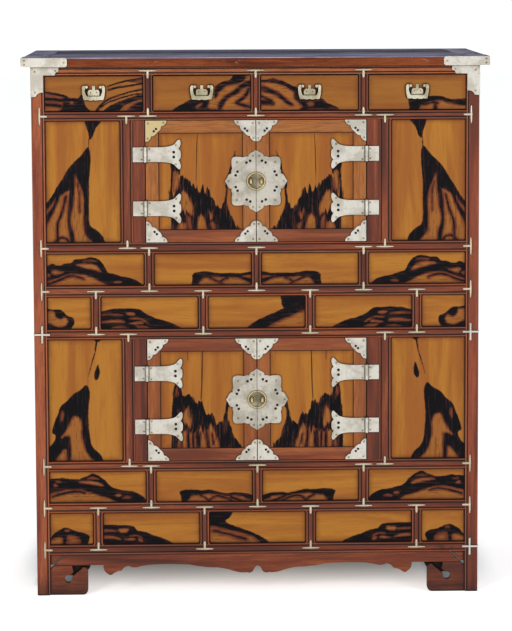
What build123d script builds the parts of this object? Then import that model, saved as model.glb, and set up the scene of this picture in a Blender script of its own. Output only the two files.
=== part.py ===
from build123d import *
from math import atan2, degrees, hypot
import os

# Korean two tier chest: one post-and-rail frame, four drawers, two pairs of doors.
# Millimetres. +Z is up, +X is to the right seen from the front, the front faces -Y.
# The origin is on the floor, under the middle of the whole object.

os.makedirs("parts", exist_ok=True)

# ---------------------------------------------------------------- driving dimensions
# Case
case_w = 1100.0             # over the posts
case_d = 520.0              # over the posts
post_w = 32.0
post_d = 40.0
tenon_t = 10.0              # thickness of every tenon
tenon_l = 20.0              # rail tenons, into the posts
tenon_shoulder = 3.0        # set-in of a tenon at its narrow edges
stub_l = 6.0                # muntin tenons, into the rails

# Front, from the floor up
foot_h = 103.0              # floor to bottom rail
frame_rail_h = 24.0         # four lowest rails
waist_rail_h = 26.0         # two rails under the upper doors
top_rail_h = 21.0           # rails under and over the drawers
five_row_h = 82.0           # clear height of the rows of five panels
four_row_h = 81.0           # clear height of the rows of four panels
lower_door_h = 307.0
upper_door_h = 302.0
drawer_h = 90.0
rail_t = 26.0               # front to back
muntin_w = 22.0
door_muntin_w = 29.0
jamb_w = 30.0
jamb_lip = 6.0              # how far the jamb's rebate reaches behind the door
door_half_w = 272.0         # middle of the chest to a hinge axis

# Panels and boards
panel_t = 8.0
panel_recess = 5.0          # front panels, behind the face of the frame
tongue = 5.0                # depth of the grooves that hold panels
side_rail_t = 30.0
side_recess = 2.0           # side and back rails, inside the faces of the posts
side_panel_t = 10.0
side_panel_recess = 5.0     # side panels, inside the faces of the posts
back_rail_t = 20.0
back_board_count = 3
floor_t = 12.0
guide_h = 12.0              # drawer guides, above the dust board

# Top
top_t = 22.0
top_overhang = 22.0
top_end_w = 65.0
top_tongue_l = 12.0
top_tongue_t = 8.0
plank_count = 3

# Doors
door_t = 18.0
door_stile_w = 31.0
door_rail_h = 30.0
door_panel_t = 10.0
door_panel_recess = 1.0
door_tongue_t = 5.0
door_gap = 1.0              # all round each door
stop_gap = 0.3              # door to the rebate behind it

# Drawers
drawer_side_gap = 1.0
drawer_edge_gap = 1.5       # above and below the front
drawer_recess = 1.0
drawer_front_t = 20.0
drawer_side_t = 10.0
drawer_bottom_t = 7.0
drawer_side_h = 70.0
drawer_seat_gap = 0.3       # drawer to dust board
drawer_back_gap = 0.5       # drawer to back boards

# Fittings
sheet_t = 1.2               # sheet metal of straps, brackets and plates
nail_r = 2.3
nail_h = 0.8

# Hinges
leaf_t = 1.5
hinge_h = 36.0
hinge_spread = 133.0        # between the two hinges of a door
barrel_r = 4.0
barrel_lift = 0.3           # barrel in front of the face of the frame
pin_r = 1.6
pin_gap = 0.05              # radial, pin in knuckle
knuckle_gap = 0.3
pin_head_r = 3.0
pin_head_h = 1.2
fixed_leaf_w = 30.5         # axis to the outer edge
moving_leaf_w = 82.0        # axis to the notch in the end
leaf_tip_z = 34.0
leaf_hole_r = 3.2

# Lock plates
lock_tip_r = 77.0
lock_half = 58.0            # half side of the square between the points
lock_split = 0.6            # plate edge to the middle of the chest
lock_hole_r = 3.2
lock_hole_x = 19.0
lock_hole_z = 48.0
lock_hole_spread = 9.0
ring_r = 22.0
ring_w = 3.0
ring_h = 3.0
staple_x = 13.0
staple_w = 5.0
staple_r = 6.8
staple_hole_r = 3.5
staple_reach = 7.0          # plate to the centre of the eye

# Door corner plates
corner_leg = 52.0
corner_blunt = 4.0
corner_hole_r = 2.5

# Straps and brackets
bar_l = 43.0
bar_w = 4.5
stem_l = 19.0
stem_w = 6.0
post_strap_inset = 12.0     # bar of a post strap, from the inner edge of the post
cross_wrap = 22.0
bracket_arm_w = 30.0
bracket_up = 74.0
bracket_along = 68.0
bracket_round = 9.0
top_strap_l = 112.0
top_strap_round = 6.0

# Drawer pulls
pull_post_x = 17.0          # half distance between the posts
pull_pivot_z = 13.0         # pivot above the middle of the pull
pull_post_r = 3.2
pull_post_l = 7.5
pull_pin_r = 1.5
pull_arm_gap = 0.5          # post to bail arm
bail_t = 4.5
bail_gap = 0.6              # bail to the plate behind it
bail_half_w = 28.0
bail_bottom_z = 18.0
bail_bar_h = 8.0
bail_arm_w = 7.5
bail_curl = 3.2             # bail above its pivot
plate_half_w = 14.0
plate_base_z = 9.0
plate_lobe_r = 6.5
plate_spike_w = 7.0
plate_spike_z = 16.0
plate_hole_r = 1.4

# Apron and foot brackets
apron_h = 28.0
apron_t = 18.0
apron_recess = 4.0
apron_cut_x = 40.0          # post to the top of the apron's slanted end
foot_w = 94.0
foot_cut = 10.0             # corner cut off the bracket and the apron at the post
foot_neck_w = 55.0          # post to the slot in the bracket's upper edge
foot_slot_h = 20.0
foot_corner_r = 13.0
foot_hole_r = 9.5
foot_hole_x = 45.0
foot_hole_z = 40.0
foot_slit_w = 7.0

# ---------------------------------------------------------------- derived levels and lines
front_y = -case_d / 2
back_y = case_d / 2
post_x = case_w / 2
inner_x = post_x - post_w
rail_back_y = front_y + rail_t
side_front_y = front_y + post_d
back_rail_y = back_y - side_recess - back_rail_t
back_panel_y = back_rail_y + (back_rail_t - panel_t) / 2
side_panel_x = post_x - side_panel_recess - side_panel_t
pitch = (2 * inner_x + muntin_w) / 4
four_row_x = [-pitch, 0.0, pitch]
five_row_x = [-1.5 * pitch, -0.5 * pitch, 0.5 * pitch, 1.5 * pitch]
jamb_x = door_half_w + door_gap
door_muntin_x = jamb_x + jamb_w + door_muntin_w / 2

gaps = [foot_h, five_row_h, four_row_h, lower_door_h]
gaps += [five_row_h, four_row_h, upper_door_h, drawer_h]
heights = 4 * [frame_rail_h] + 2 * [waist_rail_h] + 2 * [top_rail_h]
rail_z = []
level = 0.0
for gap, height in zip(gaps, heights):
    rail_z.append((level + gap, level + gap + height))
    level += gap + height
case_top = level
BOTTOM, LOWER_ROW, LOWER_SILL, MIDDLE, UPPER_ROW, UPPER_SILL, DRAWER, TOP = range(8)
five_rows = [BOTTOM, MIDDLE]
four_rows = [LOWER_ROW, UPPER_ROW]
door_rows = {"lower": LOWER_SILL, "upper": UPPER_SILL}
through_rails = [BOTTOM, MIDDLE, TOP]

top_x = post_x + top_overhang
top_front_y = front_y - top_overhang
top_back_y = back_y + top_overhang + sheet_t + nail_h    # as far as the nails in front
drawer_z = rail_z[DRAWER][1]
axis_y = front_y - barrel_lift - barrel_r


# ---------------------------------------------------------------- helpers
def box(x0, x1, y0, y1, z0, z1):
    """Box between two opposite corners."""
    centre = Pos((x0 + x1) / 2, (y0 + y1) / 2, (z0 + z1) / 2)
    return centre * Box(x1 - x0, y1 - y0, z1 - z0)


def rod(x, y, z, axis, radius, length):
    """Cylinder centred at a point, along "X", "Y" or "Z"."""
    turn = {"X": Rot(0, 90, 0), "Y": Rot(90, 0, 0), "Z": Rot(0, 0, 0)}[axis]
    return Pos(x, y, z) * turn * Cylinder(radius, length)


def sheet(path, y_back, thickness):
    """Plate facing the front: an (x, z) path of points and bulges, pushed forward from y_back."""
    points, bulges = path
    edges = []
    for i, bulge in enumerate(bulges):
        start, end = points[i], points[(i + 1) % len(points)]
        edges.append(SagittaArc(start, end, bulge) if bulge else Line(start, end))
    plane = Plane((0, y_back, 0), x_dir=(1, 0, 0), z_dir=(0, -1, 0))
    return extrude(plane * make_face(edges), thickness)


def with_reflection(path, flip):
    """A path followed by its reflection, walked back from the shared last point."""
    points, bulges = path
    return points + [flip(p) for p in points[-2::-1]], bulges + bulges[::-1]


def closed(path):
    """The path closed by a straight line."""
    points, bulges = path
    return points, bulges + [0]


def moved(path, x, z, flip_x=1, flip_z=1):
    """The path reflected as asked, then shifted. One reflection turns the bulges over."""
    points, bulges = path
    turned = flip_x * flip_z
    return [(x + flip_x * u, z + flip_z * v) for u, v in points], [turned * b for b in bulges]


def mirrored(pieces):
    """The same pieces on the other side of the chest."""
    return [mirror(piece, about=Plane.YZ) for piece in pieces]


def both_sides(pieces):
    return pieces + mirrored(pieces)


def nails(places, y_face):
    """Nail heads seated on a face at y_face, at (x, z) places."""
    return [rod(x, y_face - nail_h / 2, z, "Y", nail_r, nail_h) for x, z in places]


def cells(centres, width):
    """Clear (x0, x1) spans between the posts, beside members of one width."""
    starts = [-inner_x] + [x + width / 2 for x in centres]
    ends = [x - width / 2 for x in centres] + [inner_x]
    return list(zip(starts, ends))


def save(node, pieces):
    """Write one node, every piece a solid of its own."""
    solids = [solid for piece in pieces for solid in piece.solids()]
    export_step(Compound(solids), f"parts/{node}.step")


# ---------------------------------------------------------------- front frame
def front_panel(x0, x1, z0, z1):
    """Panel in the front, with its tongues in the grooves round an opening."""
    y0 = front_y + panel_recess
    return box(x0 - tongue, x1 + tongue, y0, y0 + panel_t, z0 - tongue, z1 + tongue)


def row_opening(row):
    """Clear height (z0, z1) over the rail of this number."""
    return rail_z[row][1], rail_z[row + 1][0]


def make_row_panels():
    panels = []
    for rows, centres in ((five_rows, five_row_x), (four_rows, four_row_x)):
        for row in rows:
            panels += [front_panel(*span, *row_opening(row)) for span in cells(centres, muntin_w)]
    return panels


def make_flank_panels():
    outer = door_muntin_x + door_muntin_w / 2
    left = [front_panel(-inner_x, -outer, *row_opening(row)) for row in door_rows.values()]
    return both_sides(left)


def muntin(x, width, row):
    """Upright between two rails, with a stub tenon at each end."""
    z0, z1 = row_opening(row)
    half = width / 2
    mid_y = front_y + rail_t / 2
    body = box(x - half, x + half, front_y, rail_back_y, z0, z1)
    tenon_half = half - tenon_shoulder
    return body + box(x - tenon_half, x + tenon_half, mid_y - tenon_t / 2, mid_y + tenon_t / 2,
                      z0 - stub_l, z1 + stub_l)


def make_muntins(panels):
    bars = [muntin(x, muntin_w, row) for row in five_rows for x in five_row_x]
    bars += [muntin(x, muntin_w, row) for row in four_rows + [DRAWER] for x in four_row_x]
    for row in door_rows.values():
        bars += [muntin(side * door_muntin_x, door_muntin_w, row) for side in (-1, 1)]
    return [bar - panels for bar in bars]


def front_rail(z0, z1):
    """Rail between the front posts, tenoned into both."""
    mid_y = front_y + rail_t / 2
    body = box(-inner_x, inner_x, front_y, rail_back_y, z0, z1)
    reach = inner_x + tenon_l
    return body + box(-reach, reach, mid_y - tenon_t / 2, mid_y + tenon_t / 2,
                      z0 + tenon_shoulder, z1 - tenon_shoulder)


def jamb(row):
    """Left jamb strip with the rebate that the door closes against."""
    z0, z1 = row_opening(row)
    stop_y = front_y + door_t + stop_gap
    strip = box(-jamb_x - jamb_w, -jamb_x, front_y, rail_back_y, z0, z1)
    return strip + box(-jamb_x, -jamb_x + jamb_lip, stop_y, rail_back_y, z0, z1)


# ---------------------------------------------------------------- sides, back and inside
def side_rail(z0, z1):
    """Left side rail between the posts, tenoned into both."""
    x0 = -(post_x - side_recess)
    mid_x = x0 + side_rail_t / 2
    body = box(x0, x0 + side_rail_t, side_front_y, -side_front_y, z0, z1)
    reach = -side_front_y + tenon_l
    return body + box(mid_x - tenon_t / 2, mid_x + tenon_t / 2, -reach, reach,
                      z0 + tenon_shoulder, z1 - tenon_shoulder)


def side_panel(lower, upper):
    """Left side panel between two through rails."""
    z0, z1 = rail_z[lower][1] - tongue, rail_z[upper][0] + tongue
    reach = -side_front_y + tongue
    return box(-side_panel_x - side_panel_t, -side_panel_x, -reach, reach, z0, z1)


def back_rail(z0, z1):
    """Rail between the rear posts, tenoned into both."""
    mid_y = back_rail_y + back_rail_t / 2
    body = box(-inner_x, inner_x, back_rail_y, back_rail_y + back_rail_t, z0, z1)
    reach = inner_x + tenon_l
    return body + box(-reach, reach, mid_y - tenon_t / 2, mid_y + tenon_t / 2,
                      z0 + tenon_shoulder, z1 - tenon_shoulder)


def back_boards(lower, upper):
    """Upright boards of the back between two through rails."""
    z0, z1 = rail_z[lower][1] - tongue, rail_z[upper][0] + tongue
    start = -inner_x - tongue
    width = -2 * start / back_board_count
    edges = [start + i * width for i in range(back_board_count)]
    return [box(x, x + width, back_panel_y, back_panel_y + panel_t, z0, z1) for x in edges]


def make_floor_boards():
    """The floor of each tier, and the dust board that the drawers run on."""
    boards = []
    for row, end_y in ((BOTTOM, back_rail_y), (MIDDLE, back_rail_y), (DRAWER, back_panel_y)):
        z1 = rail_z[row][1]
        boards.append(box(-inner_x, inner_x, rail_back_y, end_y, z1 - floor_t, z1))
    return boards


def make_drawer_guides():
    """Strips between the drawers, and at the ends beside the dust board."""
    top = drawer_z + guide_h
    guides = [box(x - muntin_w / 2, x + muntin_w / 2, rail_back_y, back_panel_y, drawer_z, top)
              for x in four_row_x]
    end = box(-side_panel_x, -inner_x, side_front_y, -side_front_y, drawer_z - floor_t, top)
    return guides + both_sides([end])


# ---------------------------------------------------------------- top
def make_planks():
    """Long planks with a tongue at both ends."""
    depth = (top_back_y - top_front_y) / plank_count
    body_x = top_x - top_end_w
    reach = body_x + top_tongue_l
    mid_z = case_top + top_t / 2
    planks = []
    for i in range(plank_count):
        y0 = top_front_y + i * depth
        body = box(-body_x, body_x, y0, y0 + depth, case_top, case_top + top_t)
        planks.append(body + box(-reach, reach, y0, y0 + depth,
                                 mid_z - top_tongue_t / 2, mid_z + top_tongue_t / 2))
    return planks


def make_top_ends(planks):
    end = box(-top_x, -top_x + top_end_w, top_front_y, top_back_y, case_top, case_top + top_t)
    return [piece - planks for piece in both_sides([end])]


# ---------------------------------------------------------------- apron and feet
def apron_path():
    """Half the outline of the apron, from its left end to the middle, along the lower edge.

    The lower edge is given by shares of the half width between the posts and by depths below
    the plain board: a pendant, a small bump, a long arch and half of the middle drop.
    """
    top = rail_z[BOTTOM][0]
    low = top - apron_h
    edge = [(0.743, 0), (0.724, 22), (0.699, 23), (0.656, 15), (0.622, 3), (0.579, 6),
            (0.502, 0), (0.328, 1), (0.193, 9), (0.116, 18), (0.052, 22), (0.019, 15), (0, 5)]
    points = [(-inner_x + apron_cut_x, top), (-inner_x + foot_cut, low)]
    points += [(-share * inner_x, low - depth) for share, depth in edge]
    bulges = [0, 0, -4, -3, 2, 3, -2, 1, 1, -2, 1, -2, -4, 2]
    return points, bulges


def make_apron():
    points, bulges = with_reflection(apron_path(), lambda p: (-p[0], p[1]))
    y_back = front_y + apron_recess + apron_t
    return sheet(closed((points, bulges)), y_back, apron_t)


def foot_bracket():
    """Left scrolled bracket: a rounded block with a keyhole slot from its upper edge."""
    top = rail_z[BOTTOM][0] - apron_h
    x0 = -inner_x
    x1 = x0 + foot_w
    slot_x = x0 + foot_neck_w
    slot_foot = (slot_x + 5, top - foot_slot_h)
    scroll_z = top - 4
    points = [(x0, 0), (x1 - foot_corner_r, 0), (x1, foot_corner_r), (x1, scroll_z - foot_corner_r),
              (x1 - foot_corner_r, scroll_z), (x1 - 20, scroll_z - 9), slot_foot, (slot_x, top),
              (x0 + foot_cut, top), (x0, top - foot_cut)]
    bulges = [0, -0.29 * foot_corner_r, 0, -0.29 * foot_corner_r, 1.5, 1.5, 1.5, 0, 0, 0]
    y_back = front_y + apron_recess + apron_t
    block = sheet((points, bulges), y_back, apron_t)
    hole_y = y_back - apron_t / 2
    hole_x = x0 + foot_hole_x
    hole = rod(hole_x, hole_y, foot_hole_z, "Y", foot_hole_r, 2 * apron_t)
    run_x, run_z = slot_foot[0] - hole_x, slot_foot[1] - foot_hole_z
    turn = Rot(0, -degrees(atan2(run_z, run_x)), 0)
    slit_l = 1.3 * hypot(run_x, run_z)      # runs on into the notch
    middle = Pos(hole_x + 0.65 * run_x, hole_y, foot_hole_z + 0.65 * run_z)
    slit = middle * turn * Box(slit_l, 2 * apron_t, foot_slit_w)
    return block - hole - slit


# ---------------------------------------------------------------- straps and brackets
def tee(x, z, along, up):
    """T strap: bar on a rail's centre line, stem towards (along, up)."""
    front, back = front_y - sheet_t, front_y
    if up:
        bar = box(x - bar_l / 2, x + bar_l / 2, front, back, z - bar_w / 2, z + bar_w / 2)
        z0, z1 = sorted((z, z + up * stem_l))
        return bar + box(x - stem_w / 2, x + stem_w / 2, front, back, z0, z1)
    bar = box(x - bar_w / 2, x + bar_w / 2, front, back, z - bar_l / 2, z + bar_l / 2)
    x0, x1 = sorted((x, x + along * stem_l))
    return bar + box(x0, x1, front, back, z - bar_w / 2, z + bar_w / 2)


def rail_mid(row):
    return sum(rail_z[row]) / 2


def cross(row):
    """Left cross strap: a T strap whose other arm wraps round the side of the post."""
    z = rail_mid(row)
    bar_x = -inner_x - post_strap_inset
    half = bar_w / 2
    arm = box(-post_x - sheet_t, bar_x, front_y - sheet_t, front_y, z - half, z + half)
    wrap = box(-post_x - sheet_t, -post_x, front_y, front_y + cross_wrap, z - half, z + half)
    return tee(bar_x, z, 1, 0) + arm + wrap


def make_straps():
    straps = []
    uprights = [(five_rows, five_row_x), (four_rows + [DRAWER], four_row_x)]
    uprights += [(list(door_rows.values()), [-door_muntin_x, door_muntin_x])]
    for rows, centres in uprights:
        for row in rows:
            for x in centres:
                straps.append(tee(x, rail_mid(row), 0, 1))
                straps.append(tee(x, rail_mid(row + 1), 0, -1))
    bar_x = -inner_x - post_strap_inset
    plain = [LOWER_ROW, LOWER_SILL, UPPER_ROW, UPPER_SILL, DRAWER]
    left = [tee(bar_x, rail_mid(row), 1, 0) for row in plain] + [cross(MIDDLE)]
    straps += both_sides(left)
    straps.append(tee(bar_x, rail_mid(BOTTOM), 1, 0))
    straps += mirrored([cross(BOTTOM)])
    return straps


def corner_bracket():
    """Left L bracket on the front of the post, wrapped round its side."""
    top = case_top
    low = top - top_rail_h
    x0 = -post_x - sheet_t
    arm_x = -post_x + bracket_arm_w
    end_x = -post_x + bracket_along
    foot_z = top - bracket_up
    points = [(x0, top), (end_x, top), (end_x, low + bracket_round), (end_x - bracket_round, low),
              (arm_x, low), (arm_x, foot_z + bracket_round + 2), (-post_x + 12, foot_z + 1),
              (x0, foot_z)]
    bulges = [0, 0, -3, 0, 0, -4, 0, 0]
    front = sheet((points, bulges), front_y, sheet_t)
    side_up = box(x0, -post_x, front_y, front_y + bracket_arm_w, foot_z, top)
    side_along = box(x0, -post_x, front_y, front_y + post_d, low, top)
    return front + side_up + side_along


def corner_bracket_nails():
    low = case_top - top_rail_h
    places = [(-post_x + 10, case_top - 12), (-post_x + 60, low + 11)]
    places.append((-post_x + 10, case_top - bracket_up + 11))
    return nails(places, front_y - sheet_t)


def top_strap():
    """Left strap on the edge of the top, wrapped round the corner."""
    z0, z1 = case_top, case_top + top_t
    x0 = -top_x - sheet_t
    x1 = -top_x + top_strap_l
    cut = top_strap_round
    points = [(x0, z0), (x1 - cut, z0), (x1, z0 + cut), (x1, z1 - cut), (x1 - cut, z1), (x0, z1)]
    front = sheet((points, [0, -1.8, 0, -1.8, 0, 0]), top_front_y, sheet_t)
    return front + box(x0, -top_x, top_front_y, top_front_y + top_strap_l, z0, z1)


def top_strap_nails():
    mid = case_top + top_t / 2
    places = [(-top_x + 8, mid + 5), (-top_x + 8, mid - 5), (-top_x + top_strap_l - 8, mid)]
    return nails(places, top_front_y - sheet_t)


# ---------------------------------------------------------------- hinges
def hinge_heights(row):
    """Middle heights of the two hinges of the doors over this rail."""
    middle = sum(row_opening(row)) / 2
    return [middle - hinge_spread / 2, middle + hinge_spread / 2]


def knuckle(z0, z1):
    """Left knuckle round the hinge axis, bored for the pin."""
    mid = (z0 + z1) / 2
    tube = rod(-door_half_w, axis_y, mid, "Z", barrel_r, z1 - z0)
    return tube - rod(-door_half_w, axis_y, mid, "Z", pin_r + pin_gap, 2 * (z1 - z0))


def leaf_root(z0, z1, side):
    """Strip of leaf that joins a knuckle, outside (-1) or inside (1) of the axis."""
    x0, x1 = sorted((-door_half_w, -door_half_w + side * (barrel_r + 1)))
    strip = box(x0, x1, front_y - leaf_t, front_y, z0, z1)
    return strip - rod(-door_half_w, axis_y, (z0 + z1) / 2, "Z", barrel_r - 1, 2 * (z1 - z0))


def fixed_leaf(z):
    """Left fixed leaf with its two outer knuckles."""
    half = hinge_h / 2
    inner = hinge_h / 6 + knuckle_gap / 2
    x1 = -door_half_w - barrel_r - knuckle_gap
    leaf = box(-door_half_w - fixed_leaf_w, x1, front_y - leaf_t, front_y, z - half, z + half)
    for z0, z1 in ((z - half, z - inner), (z + inner, z + half)):
        leaf += knuckle(z0, z1) + leaf_root(z0, z1, -1)
    return leaf


def moving_leaf_path():
    """Upper half of the fishtail leaf, from the barrel to the notch in its end."""
    half = hinge_h / 2
    end = moving_leaf_w
    points = [(barrel_r + knuckle_gap, half), (32, half + 0.5), (end - 3, leaf_tip_z),
              (end + 0.5, 13), (end, 0)]
    return points, [0, -5.5, 2.5, 1.8]


def moving_leaf(z):
    """Left moving leaf with its middle knuckle and the two holes near its end."""
    path = closed(with_reflection(moving_leaf_path(), lambda p: (p[0], -p[1])))
    leaf = sheet(moved(path, -door_half_w, z), front_y, leaf_t)
    inner = hinge_h / 6 - knuckle_gap / 2
    leaf += knuckle(z - inner, z + inner) + leaf_root(z - inner, z + inner, 1)
    hole_x = -door_half_w + moving_leaf_w - 13
    for hole_z in (z - 6, z + 6):
        leaf -= rod(hole_x, front_y, hole_z, "Y", leaf_hole_r, 4 * leaf_t)
    return leaf


def hinge_pin(z):
    """Left pin with a head on each end knuckle."""
    shaft = rod(-door_half_w, axis_y, z, "Z", pin_r, hinge_h + pin_head_h)
    for side in (-1, 1):
        head_z = z + side * (hinge_h + pin_head_h) / 2
        shaft += rod(-door_half_w, axis_y, head_z, "Z", pin_head_r, pin_head_h)
    return shaft


def leaf_nails(z, places):
    """Nails of a leaf at (x from the axis, +/- z) places."""
    spots = [(-door_half_w + x, z + side * dz) for x, dz in places for side in (-1, 1)]
    return nails(spots, front_y - leaf_t)


# ---------------------------------------------------------------- doors
def door_span(row):
    """Left door's outline (x0, x1, z0, z1)."""
    z0, z1 = row_opening(row)
    return -door_half_w + door_gap, -door_gap, z0 + door_gap, z1 - door_gap


def door_panel(row):
    """Flush panel with a tongue all round."""
    x0, x1, z0, z1 = door_span(row)
    x0, x1 = x0 + door_stile_w, x1 - door_stile_w
    z0, z1 = z0 + door_rail_h, z1 - door_rail_h
    y0 = front_y + door_panel_recess
    mid_y = y0 + door_panel_t / 2
    half_t = door_tongue_t / 2
    body = box(x0, x1, y0, y0 + door_panel_t, z0, z1)
    return body + box(x0 - tongue, x1 + tongue, mid_y - half_t, mid_y + half_t,
                      z0 - tongue, z1 + tongue)


def door_frame(row):
    """Two stiles and two rails, grooved for the panel."""
    x0, x1, z0, z1 = door_span(row)
    y0, y1 = front_y, front_y + door_t
    left_x, right_x = x0 + door_stile_w, x1 - door_stile_w
    pieces = [box(x0, left_x, y0, y1, z0, z1), box(right_x, x1, y0, y1, z0, z1)]
    pieces.append(box(left_x, right_x, y0, y1, z0, z0 + door_rail_h))
    pieces.append(box(left_x, right_x, y0, y1, z1 - door_rail_h, z1))
    return [piece - door_panel(row) for piece in pieces]


def corner_plate(x, z, flip_x, flip_z):
    """Corner plate: two straight legs and three scallops between their tips."""
    tip = corner_leg
    notch = 0.42 * tip
    points = [(0, 0), (0, tip), (corner_blunt, tip), (notch, tip - 16), (tip - 16, notch),
              (tip, corner_blunt), (tip, 0)]
    path = (points, [0, 0, 2.5, 1.5, 2.5, 0, 0])
    plate = sheet(moved(path, x, z, flip_x, flip_z), front_y, sheet_t)
    for u, v in ((0.5 * tip, 0.4 * tip), (0.4 * tip, 0.5 * tip)):
        hole = rod(x + flip_x * u, front_y, z + flip_z * v, "Y", corner_hole_r, 4 * sheet_t)
        plate -= hole
    spots = [(0.13 * tip, 0.13 * tip), (0.85 * tip, 0.1 * tip), (0.1 * tip, 0.85 * tip)]
    places = [(x + flip_x * u, z + flip_z * v) for u, v in spots]
    return [plate] + nails(places, front_y - sheet_t)


def door_corner_plates(row):
    x0, x1, z0, z1 = door_span(row)
    pieces = []
    for x, flip_x in ((x0, 1), (x1, -1)):
        for z, flip_z in ((z0, 1), (z1, -1)):
            pieces += corner_plate(x, z, flip_x, flip_z)
    return pieces


def lock_path():
    """Half the outline of the lobed lock plate: an eighth, reflected twice."""
    edge = lock_half
    eighth = ([(0, lock_tip_r), (19, edge + 6.5), (23, edge), (31, edge - 2), (edge - 12, edge),
               (edge - 3, edge - 3)], [3, -1, -0.6, 1.2, 1.2])
    quarter = with_reflection(eighth, lambda p: (p[1], p[0]))
    return with_reflection(quarter, lambda p: (p[0], -p[1]))


def lock_plate(row):
    """Left half of the lock plate, with the half ring round its staple and its nails."""
    z = sum(row_opening(row)) / 2
    half = sheet(moved(closed(lock_path()), 0, z, -1), front_y, sheet_t)
    for u, v in ((lock_hole_x, lock_hole_z), (lock_hole_z, lock_hole_x)):
        for flip in (-1, 1):
            for step in (-lock_hole_spread / 2, lock_hole_spread / 2):
                du, dv = (step, -step / 2) if v > u else (-step / 2, step)
                spot = (-(u + du), z + flip * (v + dv))
                half -= rod(spot[0], front_y, spot[1], "Y", lock_hole_r, 4 * sheet_t)
    face = front_y - sheet_t
    ring = rod(0, face - ring_h / 2, z, "Y", ring_r, ring_h)
    ring -= rod(0, face - ring_h / 2, z, "Y", ring_r - ring_w, 2 * ring_h)
    reach = 2 * lock_tip_r
    keep = box(-reach, -lock_split, front_y - reach, front_y, z - reach, z + reach)
    plate = (half + ring) & keep
    spots = [(-47, z + 47), (-47, z - 47), (-68, z), (-8, z + 62), (-8, z - 64)]
    return [plate] + nails(spots, face)


def lock_staple(row):
    """Left staple: an upright eye for the padlock's bar."""
    z = sum(row_opening(row)) / 2
    face = front_y - sheet_t
    x0, x1 = -staple_x - staple_w / 2, -staple_x + staple_w / 2
    eye_y = face - staple_reach
    eye = rod(-staple_x, eye_y, z, "X", staple_r, staple_w)
    eye += box(x0, x1, eye_y, face, z - staple_r, z + staple_r)
    return eye - rod(-staple_x, eye_y, z, "X", staple_hole_r, 2 * staple_w)


def moving_leaves(row):
    pieces = []
    for z in hinge_heights(row):
        pieces.append(moving_leaf(z))
        pieces += leaf_nails(z, [(10, 14), (75, 24)])
    return pieces


# ---------------------------------------------------------------- drawers
def drawer_width():
    return pitch - muntin_w - 2 * drawer_side_gap


def drawer_front(x):
    half = drawer_width() / 2
    y0 = front_y + drawer_recess
    top = drawer_z + drawer_h - drawer_edge_gap
    return [box(x - half, x + half, y0, y0 + drawer_front_t, drawer_z + drawer_edge_gap, top)]


def drawer_box(x):
    """Two sides, a back and a bottom nailed on from below."""
    half = drawer_width() / 2
    y0 = front_y + drawer_recess + drawer_front_t
    y1 = back_panel_y - drawer_back_gap
    z0 = drawer_z + drawer_seat_gap
    z1 = z0 + drawer_bottom_t
    z2 = z1 + drawer_side_h
    t = drawer_side_t
    return [box(x - half, x + half, y0, y1, z0, z1),
            box(x - half, x - half + t, y0, y1, z1, z2),
            box(x + half - t, x + half, y0, y1, z1, z2),
            box(x - half + t, x + half - t, y1 - t, y1, z1, z2)]


def pull_centre_z():
    return drawer_z + drawer_h / 2 + 3


def bail_y():
    """Middle plane of the bail, in front of the drawer and its plate."""
    return front_y + drawer_recess - sheet_t - bail_gap - bail_t / 2


def pull_plate(x):
    """Small two lobed plate with a spike, and the two bored posts of the bail."""
    z = pull_centre_z()
    face = front_y + drawer_recess
    lobe_x = plate_half_w - plate_lobe_r
    half = plate_spike_w / 2
    plate = box(x - plate_half_w, x + plate_half_w, face - sheet_t, face, z - plate_base_z, z)
    for side in (-1, 1):
        lobe = rod(x + side * lobe_x, face - sheet_t / 2, z, "Y", plate_lobe_r, sheet_t)
        plate += lobe
    plate += box(x - half, x + half, face - sheet_t, face, z, z + plate_spike_z)
    for side in (-1, 1):
        plate -= rod(x + side * lobe_x, face, z, "Y", plate_hole_r, 4 * sheet_t)
    pieces = [plate]
    pivot_z = z + pull_pivot_z
    for side in (-1, 1):
        post_x0 = x + side * pull_post_x
        post = rod(post_x0, face - pull_post_l / 2, pivot_z, "Y", pull_post_r, pull_post_l)
        bore = rod(post_x0, bail_y(), pivot_z, "X", pull_pin_r + pin_gap, 4 * pull_post_r)
        pieces.append(post - bore)
    return pieces


def bail_path():
    """Outer then inner edge of half the bail, from the bottom middle to the curl and back."""
    w = bail_half_w
    low = -bail_bottom_z
    arm = w - bail_arm_w
    pivot = pull_pivot_z
    post_edge = pull_post_x + pull_post_r + pull_arm_gap
    outer = [(0, low), (7, low - 1.5), (14, low), (w - 4, low), (w, pivot - 4),
             (w - 4, pivot + bail_curl), (post_edge, pivot + bail_curl)]
    outer_bulges = [-0.6, -0.6, -0.6, -1.2, -1.6, 0, 0]
    inner = [(post_edge, pivot - 3), (arm + 1, pivot - 7), (arm - 2, low + bail_bar_h + 4),
             (arm - 6, low + bail_bar_h), (0, low + bail_bar_h)]
    return outer + inner, outer_bulges + [-0.6, 0.8, 1, 0]


def make_bail(x):
    """U shaped bail with a pin on each arm, held in the bores of the posts."""
    z = pull_centre_z()
    y = bail_y()
    half = sheet(closed(moved(bail_path(), x, z)), y + bail_t / 2, bail_t)
    bail = half + mirror(half, about=Plane((x, 0, 0), z_dir=(1, 0, 0)))
    start = pull_post_x - pull_post_r
    end = bail_half_w - 3
    for side in (-1, 1):
        mid = x + side * (start + end) / 2
        bail += rod(mid, y, z + pull_pivot_z, "X", pull_pin_r, end - start)
    return [bail]


# ---------------------------------------------------------------- the case
row_panels = make_row_panels()
flank_panels = make_flank_panels()
front_panels = row_panels + flank_panels
muntins = make_muntins(front_panels)
front_rails = [front_rail(*z) - muntins - front_panels for z in rail_z]

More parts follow.
